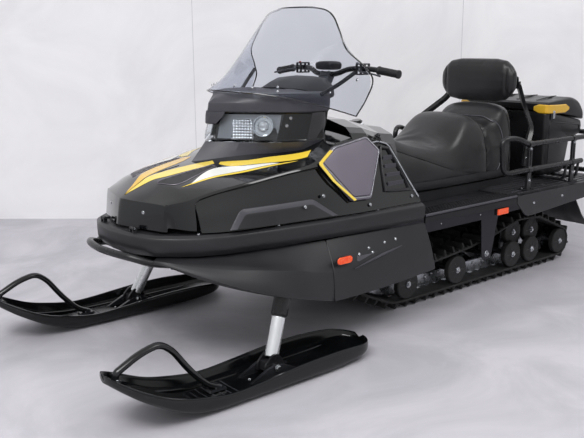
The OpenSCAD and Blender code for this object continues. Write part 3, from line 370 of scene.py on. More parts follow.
def make_materials(props):
    m = SimpleNamespace()

    def finish(key, name, colour, *numbers, **rest):
        setattr(m, key, material(name, colour, *numbers, **rest))

    # Gloss painted ABS: deep black with a faint orange peel and sharp highlights
    finish("paint", "gloss_painted_ABS", props.panel_colour, 0.07, grain=5, bump=0.008, second="#0d0e11",
           patch=180, Coat_Weight=0.6, Coat_Roughness=0.05)
    # Polycarbonate moulded against a polished face, round the headlights: a wet black
    finish("cowl", "polished_black_polycarbonate", "#08090b", 0.09, grain=6, bump=0.006, second="#0e0f12",
           patch=120, Coat_Weight=0.5, Coat_Roughness=0.04)
    # Textured polypropylene: dark grey with a fine leather grain that breaks the highlight
    finish("pan", "grained_polypropylene", "#1d1d20", 0.44, grain=2.2, bump=0.06, second="#232327", patch=200)
    # Filled nylon ribs: a dull grey, rough enough to stand on
    finish("board", "ribbed_filled_nylon", "#2d2d32", 0.5, grain=1.8, bump=0.1, second="#37373d", patch=170)
    # Grained polycarbonate in a lighter charcoal: the soft sheen of the brow over the lamps
    finish("brow", "charcoal_grained_polycarbonate", "#3a3a41", 0.42, grain=1.6, bump=0.04, second="#414148",
           patch=220)
    # Pressed tread plate under dark anodising: half metallic, dull between the ridges
    finish("deck", "dark_anodised_tread_plate", "#1b1b1e", 0.4, 0.5, grain=1.2, bump=0.02, second="#232327",
           patch=120)
    # Metallic base coat under lacquer: a mauve grey with a slow flake shimmer
    finish("hex", "metallic_grey_lacquer", props.cover_colour, 0.34, 0.3, grain=1.2, bump=0.006,
           second="#746f79", patch=420, Coat_Weight=0.5, Coat_Roughness=0.08)
    # Rotomoulded polyethylene: satin black, slightly wavy
    finish("box", "rotomoulded_polyethylene", "#141416", 0.32, grain=9, bump=0.05, second="#1c1c1f",
           patch=110)
    # Slippery polyethylene: near black with a low gloss, scuffed paler along its edges
    finish("ski", "moulded_UHMW_polyethylene", "#070809", 0.16, grain=7, bump=0.02, second="#0b0c0e",
           patch=90, rub="#3a3b40")
    # Powder-coated steel tube: black with a fine orange peel, thinner at its edges
    finish("steel", "powder_coated_steel", "#111113", 0.28, grain=1.6, bump=0.03, second="#19191c", patch=50,
           rub="#2c2c30")
    # Rolled aluminium sheet under dark anodising: a smoky metal with a soft blurred shine
    finish("tunnel", "anodised_sheet_aluminium", "#2c2c31", 0.4, 0.6, grain=0.9, bump=0.008,
           second="#36363c", patch=140)
    # Bead-blasted, clear anodised aluminium: pale satin metal
    finish("bright", "satin_anodised_aluminium", "#b9bcc2", 0.26, 0.95, grain=0.8, bump=0.006,
           second="#cdd0d5", patch=30)
    # Drawn and polished aluminium tube: an even, pale, mirror-like sheen
    finish("tube", "polished_drawn_aluminium", "#eceef1", 0.24, 0.75)
    # Zinc-plated screws and washers: small cold glints
    finish("bolt", "zinc_plated_steel", "#c4c6c9", 0.22, 1.0, grain=0.6, bump=0.004, second="#a8abb0",
           patch=8)
    # Sand-cast aluminium: grey and slightly pitted, with no clear reflection
    finish("cast", "sand_cast_aluminium", "#55565b", 0.5, 0.7, grain=1.5, bump=0.015, second="#4c4d52",
           patch=160)
    # Glass-filled nylon: black with a dry, faintly mottled face
    finish("wheel", "moulded_glass_filled_nylon", "#1b1b1e", 0.42, grain=2, bump=0.04, second="#26262a",
           patch=30)
    # Vulcanised rubber: matt black with a dusty bloom
    finish("rubber", "vulcanised_rubber", "#161617", 0.68, grain=2.4, bump=0.12, second="#232324", patch=45)
    # Soft moulded rubber of the grips: a closer, slightly oily black
    finish("grip", "moulded_soft_rubber", "#131315", 0.55, grain=1.2, bump=0.05, second="#1b1b1e", patch=20)
    # Sheet rubber over cord: the weave shows as a coarse, uneven grain
    finish("flap", "cord_reinforced_rubber_sheet", "#121214", 0.5, grain=3, bump=0.1, second="#1d1d20",
           patch=80)
    # Expanded vinyl with a fine leather grain and a soft sheen
    finish("vinyl", "grained_expanded_vinyl", "#121214", 0.36, grain=1.6, bump=0.09, second="#1b1b1e",
           patch=120, Sheen_Weight=0.15, Sheen_Roughness=0.4)
    # Smooth vinyl cords over the seams: a thin bright line in black, and one in grey
    finish("welt", "polished_vinyl_welt", "#141416", 0.3, grain=2, bump=0.02, second="#1a1a1d", patch=120)
    finish("piping", "grey_vinyl_piping", "#4a4a50", 0.28, grain=2, bump=0.02, second="#55555c", patch=120)
    # Hard-coated clear polycarbonate: seen through with hardly any bending, and a sharp reflection
    finish("screen", "clear_hard_coated_polycarbonate", "#dfe2e9", 0.02, Transmission_Weight=1.0, IOR=1.12,
           Alpha=1.0)
    # Clear lamp cover: a thin bright skin over the reflectors
    finish("lens", "clear_moulded_lens", "#f1f4f7", 0.03, Transmission_Weight=1.0, IOR=1.4)
    # Pressed glass of the projector lenses: milky in the middle, with a hard highlight
    finish("glass", "pressed_optical_glass", "#f4f7fb", 0.05, Transmission_Weight=0.3, IOR=1.45,
           Coat_Weight=0.5)
    # Vacuum-metallised reflectors: mirror bright, and a satin version behind them
    finish("chrome", "vacuum_metallised_reflector", "#dfe2e6", 0.1, 1.0)
    finish("housing", "metallised_lamp_housing", "#9a9da3", 0.3, 0.7)
    # Prismatic acrylic: small pyramids that catch the light as a lively orange or red; the orange one also
    # gives off a faint painted glow through its emission, though it is no lamp
    finish("amber", "prismatic_orange_acrylic_painted_glow", "#ff4a14", 0.18, grain=2.5, bump=0.3, second="#ff6b2b",
           patch=8, Emission_Color=linear("#ff3a10"), Emission_Strength=0.04, Coat_Weight=0.4)
    finish("red", "prismatic_red_acrylic", "#a80d14", 0.16, grain=3, bump=0.3, second="#c01a20", patch=9,
           Coat_Weight=0.5)
    # Cast vinyl films laid on the paint, as glossy as the lacquer around them; the gold film also stands, on
    # the hood's right side, for the yellow film darkened as painted shade
    for key, colour, second, patch in (("yellow", props.stripe_colour, "#efd65e", 200),
                                       ("gold", "#dba92b", "#e8bd3e", 160),
                                       ("white", "#f0f0ec", "#e7e7e2", 200)):
        finish(key, "cast_vinyl_film_" + key, colour, 0.2, grain=5, bump=0.008, second=second, patch=patch,
               Coat_Weight=0.5, Coat_Roughness=0.05)
    # Printed card of the gauges: a flat off-white
    finish("face", "printed_gauge_face", "#e4e7ea", 0.35, second="#d8dbdf", patch=30)
    # Near-black and matt: painted shade laid in seams, holes and slots and behind openings, where it swallows
    # the light
    finish("void", "flocked_dark_liner", "#060607", 0.9, grain=2, bump=0.1, second="#0b0b0c", patch=20)
    return m


# ---- The body's own lines ----
LEDGE = [(440, 850), (428, 605), (410, 350), (385, 141), (349, -66), (311, -160), (271, -219), (218, -278),
         (118, -323), (0, -339)]
LEDGE_Z = 500
# Station and height of the hinge lines
HOOD_HINGE = (-302, 514)
LID_HINGE = (2316, 738)
# Rows of the hood's front face: its foot, its rounded edge and the middle of the nose
NOSE = [[(218, -227, 507), (212, -236, 507), (0, -298, 507)],
        [(216, -224, 522), (209, -228, 600), (0, -284, 599)]]
# Rows over the hood: its foot, its side edge, and the station and height of the crown
HOOD_EDGES = [
    [(293, -152, 508), (258, -156, 614), -180, 660], [(262, -147, 612), (261, -149, 616), -172, 664],
    [(290, -66, 636), (288, -68, 640), -80, 684], [(326, 60, 657), (324, 58, 661), 50, 703],
    [(342, 213, 681), (340, 211, 685), 210, 738], [(344, 348, 688), (342, 347, 693), 348, 764],
    [(314, 442, 750), (310, 442, 756), 442, 780], [(307, 560, 767), (303, 560, 773), 540, 800]]
# Rows of the left side panel: its foot and its top edge
SIDE_ROWS = [
    [(300, -143, 505), (257, -143, 610)], [(343, -66, 505), (285, -66, 632)],
    [(362, 60, 505), (322, 60, 652)], [(380, 213, 505), (338, 213, 676)],
    [(398, 348, 505), (340, 348, 683)], [(412, 442, 505), (312.4, 442, 745)],
    [(418, 560, 505), (304.7, 560, 762)], [(419, 640, 505), (299.3, 640, 774)],
    [(420, 730, 505), (313.7, 765, 742)], [(420, 790, 505), (332.6, 782, 700)],
    [(420, 848, 505), (409, 842, 530)]]
# Rings of the cowl: height, prow, side corner, back corner, and how far the prow hangs below the height
COWL = [
    (738, -8, 176, 240, 232, 478, 54), (757, 46, 212, 268, 250, 480, 14), (776, 80, 222, 254, 258, 486, 0),
    (781, 120, 212, 276, 256, 486, 0), (881, 150, 216, 312, 262, 496, 0), (886, 110, 232, 290, 266, 498, 0)]
# Rings of the brow over the lamps, in the same order
BROW = [
    (885, 104, 230, 288, 266, 498, 0), (889, 90, 241, 292, 269, 499, 0), (920, 96, 242, 290, 271, 500, 0),
    (940, 124, 230, 276, 270, 500, 0), (956, 160, 198, 250, 262, 496, 0)]
# Rows of the windscreen: half width, the edge's station and height, the middle's, and how it curves
SCREEN = [
    (360, 528, 868, 166, 962, 3), (368, 572, 930, 194, 985, 2.4), (370, 605, 1000, 222, 1010, 2.1),
    (350, 580, 1052, 266, 1056, 2), (305, 528, 1116, 330, 1116, 2), (265, 530, 1180, 394, 1182, 2),
    (220, 538, 1238, 452, 1240, 2), (175, 538, 1265, 486, 1271, 2), (108, 534, 1277, 497, 1279, 2)]
# How far the side panel leans in from upright
SLOPE = math.radians(24.2)
# The hood's films on the left, each with its inner line, its outer line and its finish on either side; the
# gold on the right of the first film is painted shade of the same yellow film
HOOD_FILMS = [
    ([(0, -232), (3, -196), (6, -160), (20, -85), (42, 0), (74, 62)],
     [(0, -272), (18, -236), (42, -194), (74, -140), (96, -49), (108, 46)], ("yellow", "gold")),
    ([(188, -150), (196, -100), (209, -20), (241, 66), (263, 148), (282, 226), (298, 290)],
     [(188, -150), (203, -100), (220, -20), (253, 63), (274, 146), (291, 232), (299, 290)],
     ("yellow", "yellow")),
    ([(190, -100), (150, 0), (178, 62), (214, 108), (262, 200)],
     [(194, -112), (207, -22), (238, 66), (260, 148), (278, 222)], ("white", "white")),
    ([(112, 70), (150, 110), (186, 152), (212, 215), (242, 290), (270, 380)],
     [(128, 52), (178, 68), (212, 114), (258, 200), (284, 270), (296, 340)], ("yellow", "yellow"))]


def on_panel(u, v, w):
    """A point on the left side panel's plane: station, slope distance and height off the plane."""
    return (400 + w * math.cos(SLOPE) - v * math.sin(SLOPE), u,
            550 + w * math.sin(SLOPE) + v * math.cos(SLOPE))


def middle(outline):
    """The mean of an outline's corners."""
    return tuple(sum(p[k] for p in outline) / len(outline) for k in (0, 1))


def panel_loop(outline, centre, grow, w):
    """An outline on the side panel's plane, scaled about a centre and raised by w."""
    return [on_panel(*lerp(centre, p, grow), w) for p in outline]


def ledge_at(k, inset, z):
    """The ledge's outline at point k, moved inwards by inset."""
    n = len(LEDGE) - 1
    a, b = Vector(LEDGE[max(k - 1, 0)]), Vector(LEDGE[min(k + 1, n)])
    d = (b - a).normalized()
    if k == n:
        return (0, LEDGE[k][1] + inset, z)
    return (LEDGE[k][0] + d.y * inset, LEDGE[k][1] - d.x * inset, z)


def hood_rows():
    rows = []
    for foot, edge, nose in NOSE:
        rows.append([foot, edge] + [(edge[0] * t, lerp(nose[1], edge[1], t ** 1.2), lerp(nose[2], edge[2], t))
                                    for t in (0.78, 0.5, 0.25, 0)])
    for foot, edge, crown, crown_z in HOOD_EDGES:
        rows.append([foot, edge] + [(edge[0] * t, lerp(crown, edge[1], t * t),
                                     lerp(crown_z, edge[2], t ** 2.4))
                                    for t in (0.78, 0.5, 0.25, 0)])
    return [across(half) for half in rows]


def surface_of(obj):
    """A tree of a finished piece's shown surface, for laying films and fittings on it."""
    done = obj.evaluated_get(bpy.context.evaluated_depsgraph_get()).to_mesh()
    return BVHTree.FromPolygons([v.co.copy() for v in done.vertices],
                                [tuple(p.vertices) for p in done.polygons])


def on_surface(tree, start, way, lift):
    """Where a line from a point first meets a surface, raised by lift towards the side it came from."""
    way = Vector(way).normalized()
    hit, normal, _, _ = tree.ray_cast(place(start), way)
    if hit is None:
        raise RuntimeError(f"no surface seen from {start}")
    q = hit + normal * (lift if normal.dot(way) < 0 else -lift) / 1000
    return (q.x * 1000, q.y * 1000 + MID, q.z * 1000)


def laid_on(tree, x, s, lift):
    """The point of a surface straight below (x, s), raised by lift."""
    return on_surface(tree, (x, s, 2000), (0, 0, -1), lift)


def film(shape, tree, inner, outer, mat, lift, n=28, m=6):
    """A band of film between two lines drawn in plan."""
    a, b = smooth(inner, n), smooth(outer, n)
    shape.grid([[laid_on(tree, lerp(p[0], q[0], k / m), lerp(p[1], q[1], k / m), lift) for k in range(m + 1)]
                for p, q in zip(a, b)], mat)


def build_hood(m):
    shell = Shape()
    shell.sheet(hood_rows(), -6, m.paint)
    hood = shell.make("hood_shell", "hood", "hood", subdivide=2, crease=22, hold=0.95)
    barrels = Shape()
    for x in (-110, 110):
        barrels.turned([(-7, 5), (-7, 7), (7, 7), (7, 5)], (x, *HOOD_HINGE), LEFT, m.pan)
        barrels.block((x - 7, -302, 510), (x + 7, -278, 518), m.pan)
    barrels.make("hood_hinge_barrels", "hood", bevel=1)
    tree = surface_of(hood)
    bands = Shape()
    for side in (1, -1):
        for inner, outer, (on_left, on_right) in HOOD_FILMS:
            # On the right the first film takes the gold finish: the same yellow film darkened as painted
            # shade.
            finish = getattr(m, on_left if side > 0 else on_right)
            film(bands, tree, on_side(inner, side), on_side(outer, side), finish, 0.8)
    bands.make("hood_stripes", "hood")
    vents = Shape()
    for side in (1, -1):
        outer = [(92, -186), (162, -150), (158, -60), (136, 30)]
        inner = [(84, -178), (94, -130), (103, -49), (113, 34)]
        film(vents, tree, on_side(inner, side), on_side(outer, side), m.pan, 0.7)
        rim = smooth(inner, 16) + smooth(outer[::-1], 16)
        vents.tube([laid_on(tree, side * p[0], p[1], 1.0) for p in rim + rim[:1]], 1.5, m.hex, 6, caps=False)
        for k in range(1, 8):
            a, b = lerp(inner[0], inner[3], k / 8), lerp(outer[0], outer[3], k / 8)
            bulge = 12 * math.sin(math.pi * k / 8)
            line = [laid_on(tree, side * (lerp(a[0], b[0], t) + bulge * t), lerp(a[1], b[1], t), 1.6)
                    for t in (0.12, 0.35, 0.6, 0.85)]
            vents.tube(line, 1.2, m.board, 6)
    vents.make("hood_air_vents", "hood")
    trim = Shape()
    # Near-black lines down the middle seam and along each side edge: painted shade in the gaps at the seams.
    seam = [laid_on(tree, 0, s, 0.6) for s in (-270, -200, -120, -40)]
    trim.tube(seam, 1.4, m.void, 6)
    for side in (1, -1):
        edge = [(212, -228, 599), (259, -154, 610), (289, -66, 634), (325, 60, 655), (341, 213, 679),
                (343, 348, 686), (325, 400, 721), (311, 446, 749), (304, 556, 766)]
        trim.tube(smooth(on_side(edge, side), 40), 2.2, m.void, 8)
        trim.turned([(0, 6.5), (2, 6.5), (3, 5), (3, 2.6), (1.6, 2.4)], (side * 120, -264, 566),
                    (side * 0.3, -1, 0.1), m.bolt, 18)
    trim.make("hood_edge_seal", "hood")


def build_cowl(m):
    def ring(z, prow, x, s, back_x, back_s, hang):
        half = [(back_x - 14, back_s, 0), (back_x, lerp(s, back_s, 0.45), 0.3), (x, s, 0.55),
                (x * 0.5, lerp(prow, s, 0.46), 0.85), (0, prow, 1)]
        return across([(p[0], p[1], z - hang * p[2]) for p in half])

    cowl = Shape()
    cowl.grid([ring(*c) for c in COWL[:3]], m.brow, closed=True, caps=True)
    cowl.grid([ring(*c) for c in COWL[2:]], m.cowl, closed=True, caps=True)
    cowl.grid([ring(*c) for c in BROW], m.brow, closed=True, caps=True)
    cowl.make("headlight_pod", "hood", "headlight_cowl", subdivide=2, crease=20, hold=0.92)
    lens = Shape()
    rows = []
    for z, prow, sx, sy in ((783, 84, 217, 254), (806, 88, 219, 261), (832, 96, 222, 270),
                            (858, 104, 224, 279), (879, 112, 225, 287)):
        half = [(-sx, sy, z), (-sx * 0.5, lerp(prow, sy, 0.44), z), (-18, prow + 8, z), (0, prow, z)]
        rows.append(smooth(across(half), 31))
    lens.sheet(rows, 3, m.lens)
    lens.make("headlight_lens_band", "hood", "headlight_lens", sharp=50)
    lamps = Shape()
    for side in (1, -1):
        back = []
        for z, prow, sx, sy in ((786, 112, 206, 274), (830, 122, 207, 288), (876, 134, 208, 300)):
            back.append([(side * x, lerp(prow, sy, x / sx), z) for x in (16, 60, 118, 160, 200)])
        lamps.grid(back, m.housing)
    for side in (1, -1):
        axis = Vector((side * 0.592, -0.774, 0.225)).normalized()
        c = Vector((side * 158, 238, 834)) + axis * 2
        cup = [(-30, 10), (-24, 20), (-12, 30), (0, 36), (2, 37), (2, 40), (-6, 41)]
        lamps.turned(cup, c, axis, m.chrome, 40)
        lamps.turned([(-30, 16), (-6, 19), (-4, 21), (-4, 23), (-8, 23.5)], c, axis, m.bright, 32)
        lamps.turned([(-8, 19), (-2, 17.5), (3, 13), (6, 7), (7, 1)], c, axis, m.glass, 32)
        base = Vector((side * 96, 186, 822))
        tilt = Vector((side * 0.70, -0.66, 0.26)).normalized()
        u, v, w = turned_frame(tilt)
        for i in range(-3, 4):
            for k in range(-3, 4):
                q = base + u * i * 11 + v * k * 11
                lamps.turned([(-4, 5.4), (-1, 5.2), (0.6, 3), (1, 0.4)], q, tilt, m.chrome, 8)
        lamps.slab(rect(42, 38), base - w * 5, u, v, 3, m.housing)
    lamps.make("headlight_reflectors", "hood", "headlight_lamps")
    notch = Shape()
    rows = []
    for z, prow, w in ((889, 96, 62), (872, 93, 57), (845, 90, 37), (841, 94, 36)):
        rows.append([(x * w, prow + 0.74 * max(abs(x) * w - 14, 0), z)
                     for x in (-1, -0.6, -0.25, 0, 0.25, 0.6, 1)])
    notch.sheet(rows, 5, m.brow)
    notch.make("brow_notch", "hood", bevel=1)
    marks = Shape()
    for x, s, z, axis in ((136, 212, 979, (0.4, -0.8, 0.5)), (215, 268, 966, (0.5, -0.7, 0.5)),
                          (70, 178, 986, (0.2, -0.9, 0.5))):
        for side in (1, -1):
            marks.turned([(0, 5), (1.6, 4.8), (2.4, 3.4), (1.4, 1.8)], (side * x, s - 4, z),
                         (side * axis[0], axis[1], axis[2]), m.bolt, 14)
    for x, s, z in ((239, 309, 866), (236, 292, 838), (225, 300, 938)):
        for side in (1, -1):
            marks.bolt((side * x, s - 3, z), (side * 0.9, -0.4, 0), 4.6, m.bolt)
    marks.make("cowl_screws", "hood")
    dash = Shape()
    dash.slab([(-150, 820), (150, 820), (138, 925), (-138, 925)], (0, 512, 0), LEFT, UP, 8, m.pan)
    dash.slab([(-96, 838), (96, 838), (88, 914), (-88, 914)], (0, 540, 0), LEFT, UP, 28, m.cowl, 0.04)
    for x in (-46, 46):
        dash.turned([(0, 33), (3, 33), (4, 30), (1, 29)], (x, 538, 876), REAR, m.bolt, 40)
        dash.turned([(0, 29), (1.5, 29)], (x, 539, 876), REAR, m.face, 40)
        for k in range(9):
            a = math.radians(215 - k * 31)
            r0, r1 = (20, 27) if k % 2 == 0 else (23, 27)
            dash.tube([(x + r0 * math.cos(a), 541.2, 876 + r0 * math.sin(a)),
                       (x + r1 * math.cos(a), 541.2, 876 + r1 * math.sin(a))], 0.8, m.cowl, 6)
        # The needle's orange acrylic carries a faint painted glow.
        a = math.radians(150)
        dash.tube([(x, 542, 876), (x + 22 * math.cos(a), 542, 876 + 22 * math.sin(a))], [1.6, 0.7],
                  m.amber, 8)
    for x in (-120, 120):
        dash.slab(rect(12, 9), (x, 530, 880), LEFT, UP, 14, m.cowl, 0.2)
    binnacle = []
    for y, w, z0, z1 in ((470, 190, 930, 962), (505, 196, 925, 986), (545, 192, 925, 1004),
                         (580, 176, 930, 1008), (600, 160, 938, 1002)):
        half = [(w, y, z0), (w * 0.96, y, lerp(z0, z1, 0.5)), (w * 0.7, y, lerp(z0, z1, 0.92)),
                (w * 0.3, y, z1)]
        binnacle.append(whole(half))
    dash.sheet(binnacle, -5, m.pan)
    dash.make("gauges_and_dash", "hood", "instrument_panel", bevel=1.2)


def screen_row(half_width, edge_s, edge_z, mid_s, mid_z, power):
    return across([(half_width * t, lerp(mid_s, edge_s, t ** power), lerp(mid_z, edge_z, t ** 4))
                   for t in (1, 0.93, 0.84, 0.7, 0.54, 0.36, 0.18, 0)])


def build_windscreen(m):
    screen = Shape()
    rows = [screen_row(*r) for r in SCREEN]
    screen.sheet(rows, -3, m.screen)
    screen.make("windscreen_sheet", "hood", "windscreen", subdivide=2, crease=60, hold=0.9)
    rim = Shape()
    path = [r[0] for r in rows] + rows[-1][1:-1] + [r[-1] for r in reversed(rows)]
    rim.tube(smooth([(p[0] * 0.997, p[1] + 1, p[2] - 1) for p in path], 150), 3.2, m.cowl, 8, ref=(0, 0.3, 1))
    rim.tube(smooth([(p[0], p[1] + 1, p[2] - 1) for p in rows[0]], 60), 2.4, m.cowl, 8)
    rim.make("windscreen_black_trim", "hood")
    stays = Shape()
    for side in (1, -1):
        stays.tube(bend([(side * 250, 430, 940), (side * 292, 500, 985), (side * 320, 560, 1030)], 30), 8,
                   m.steel, 10)
        for p in (rows[1][2], rows[1][4], rows[2][1]):
            stays.turned([(0, 6), (1.5, 6), (2.4, 4.4), (1.6, 2)], (side * p[0], p[1] - 4, p[2]),
                         (0, -1, 0.4), m.bolt, 14)
    stays.make("windscreen_stays", "hood")


def build_sides(m):
    for side, name in SIDES:
        panel = Shape()
        rows = []
        for r in SIDE_ROWS:
            mid = lerp(r[0], r[1], 0.5)
            rows.append([r[0], lerp(r[0], r[1], 0.25), (mid[0] + 4, mid[1], mid[2]), lerp(r[0], r[1], 0.78),
                         r[1]])
        panel.sheet(rows, 6, m.paint)
        skin = panel.make("side_panel_skin_" + name, "chassis", "side_panel_" + name,
                          subdivide=2, crease=24, hold=0.96, side=side)
        swage = Shape()
        if side > 0:
            tree = surface_of(skin)
        outer = bend([(329, -54, 507), (336, 0, 576), (375, 300, 580), (403, 402, 507)], 16, 4)
        inner = bend([(349, -26, 507), (353, 14, 554), (386, 288, 558), (408, 366, 507)], 12, 4)
        outer, inner = even(outer, 90), even(inner, 90)
        rows = []
        # From the outer line over the rounded rib to the inner one, then down the flat below it; the rib
        # takes the lighter brow finish as a painted highlight on its bevel, and the flat takes the darker pan
        # finish
        for grow, down, lift in ((0, 0, -2), (0.1, 0, 3), (0.9, 0, 9), (1, 1 / 7, 9), (1, 0.5, 9), (1, 1, 9)):
            row = []
            for p, q in zip(outer, inner):
                s, z = lerp(p[1], q[1], grow), lerp(lerp(p[2], q[2], grow), 508, down)
                row.append(on_surface(tree, (700, s, max(z, 508)), (-1, 0, 0), lift))
            rows.append(row)
        swage.grid(rows[:3], m.brow)
        swage.grid(rows[2:], m.pan)
        swage.make("side_panel_swage_" + name, "chassis", bevel=1.5, side=side)
        vent = Shape()
        ring = [(655, 16), (692, 10), (800, 2), (788, 60), (764, 132), (742, 196), (700, 204), (688, 178),
                (668, 100)]
        mid = middle(ring)
        steps = ((1.0, 2), (0.99, 9), (0.9, 11), (0.86, 6), (0.84, -10))
        vent.grid([panel_loop(ring, mid, grow, w) for grow, w in steps], m.pan, closed=True)
        edge = bend([(648, 218), (694, 222), (746, 206), (774, 132), (800, 56), (834, -28)], 16, 4)
        vent.tube([on_panel(*p, 5) for p in edge], 3.6, m.bright, 8, ref=(1, 0, 0.45))
        # A near-black plate behind the vent: painted shade in its opening.
        foot = Vector(on_panel(0, 0, 0))
        vent.slab([lerp(mid, q, 0.9) for q in ring], on_panel(0, 0, -12), Vector(on_panel(1, 0, 0)) - foot,
                  Vector(on_panel(0, 1, 0)) - foot, 2, m.void)
        for v in (36, 72, 108, 144):
            u0, u1 = lerp(680, 704, v / 180), lerp(780, 748, v / 180)
            blade = [(v - 14, -8), (v + 8, 7), (v + 16, 9), (v + 14, 4), (v - 6, -6)]
            vent.grid([[on_panel(u, *p) for p in blade] for u in (u0, u1)], m.brow, closed=True, caps=True)
        vent.make("side_vent_" + name, "chassis", bevel=1, side=side)
        mesh = Shape()
        pocket = [(640, 214), (690, 250), (716, 236), (700, 212), (676, 206)]
        steps = ((1, 3), (0.98, 8), (0.86, 9), (0.82, 3))
        mesh.grid([panel_loop(pocket, (682, 226), grow, w) for grow, w in steps], m.pan, closed=True)
        # Near-black bars across the pocket: painted shade of the grille's slots.
        for k in range(5):
            mesh.tube([on_panel(650 + k * 12, 214 + k * 2, 3), on_panel(664 + k * 11, 240, 3)], 1.6,
                      m.void, 6)
        mesh.make("side_grille_" + name, "chassis", side=side)
        cover = Shape()
        hexa = [(353, 164), (442, 218), (633, 246), (685, 183), (563, -4), (468, 1)]
        corners, c = bend(hexa + hexa[:1], 12), middle(hexa)
        for steps, finish in (([(1, 2), (1, 12), (0.985, 16), (0.95, 18.5)], "hex"),
                              ([(0.95, 18.5), (0.93, 18.8)], "bright"),
                              ([(0.93, 18.8), (0.915, 15.5), (0.9, 15.5), (0.885, 20)], "hex"),
                              ([(0.885, 20), (0.8, 21.6), (0.4, 21.9), (0.02, 22)], "hex")):
            cover.grid([panel_loop(corners, c, grow, w) for grow, w in steps], getattr(m, finish),
                       closed=True, caps=steps[-1][0] < 0.1)
        cover.make("hex_cover_skin_" + name, "chassis", "hex_cover_" + name, bevel=1.2,
                   side=side, sharp=28)
        flash = Shape()
        v_out = [(420, 206), (346, 160), (392, 84), (470, -2)]
        v_in = [(434, 200), (365, 157), (407, 84), (483, 2)]
        flash.grid([[on_panel(*lerp(a, b, t), 19.6 if 0 < t < 1 else 17.5) for t in (0, 0.12, 0.5, 0.88, 1)]
                    for a, b in zip(even(v_out, 26), even(v_in, 26))], m.yellow)
        flash.make("hex_cover_chevron_" + name, "chassis", side=side)
        bolts = Shape()
        for u, v in ((340, 40), (560, -24), (800, -20), (250, 12)):
            bolts.bolt(on_panel(u, v, 3 if u > 300 else -8), (0.91, 0, 0.41), 5, m.bolt)
        bolts.make("side_fasteners_" + name, "chassis", side=side)


# Where the belly tub's sections hang along the ledge, and each section from its shoulder to the keel
TUB_AT = [2, 3, 4, 5, 6, 6.6, 7.1]
TUB = [
    [(456, 330, 318), (478, 315, 206), (300, 320, 196), (0, 320, 190)],
    [(464, 225, 344), (492, 212, 238), (290, 215, 206), (0, 215, 198)],
    [(466, 110, 356), (496, 80, 272), (275, 95, 232), (0, 100, 222)],
    [(406, -70, 388), (438, -98, 336), (250, -60, 290), (0, -40, 276)],
    [(345, -178, 400), (364, -196, 382), (215, -150, 345), (0, -140, 334)],
    [(285, -238, 408), (292, -248, 402), (180, -215, 380), (0, -215, 372)],
    [(215, -284, 412), (212, -288, 408), (150, -265, 398), (0, -268, 394)]]
# Rows of the left footwell's skirt, from its top to its foot
FOOTWELL = [
    [(384, 350, 416), (456, 329, 318), (478, 314, 206)], [(410, 600, 416), (455, 596, 300), (466, 590, 201)],
    [(428, 858, 416), (450, 880, 320), (452, 910, 213)]]


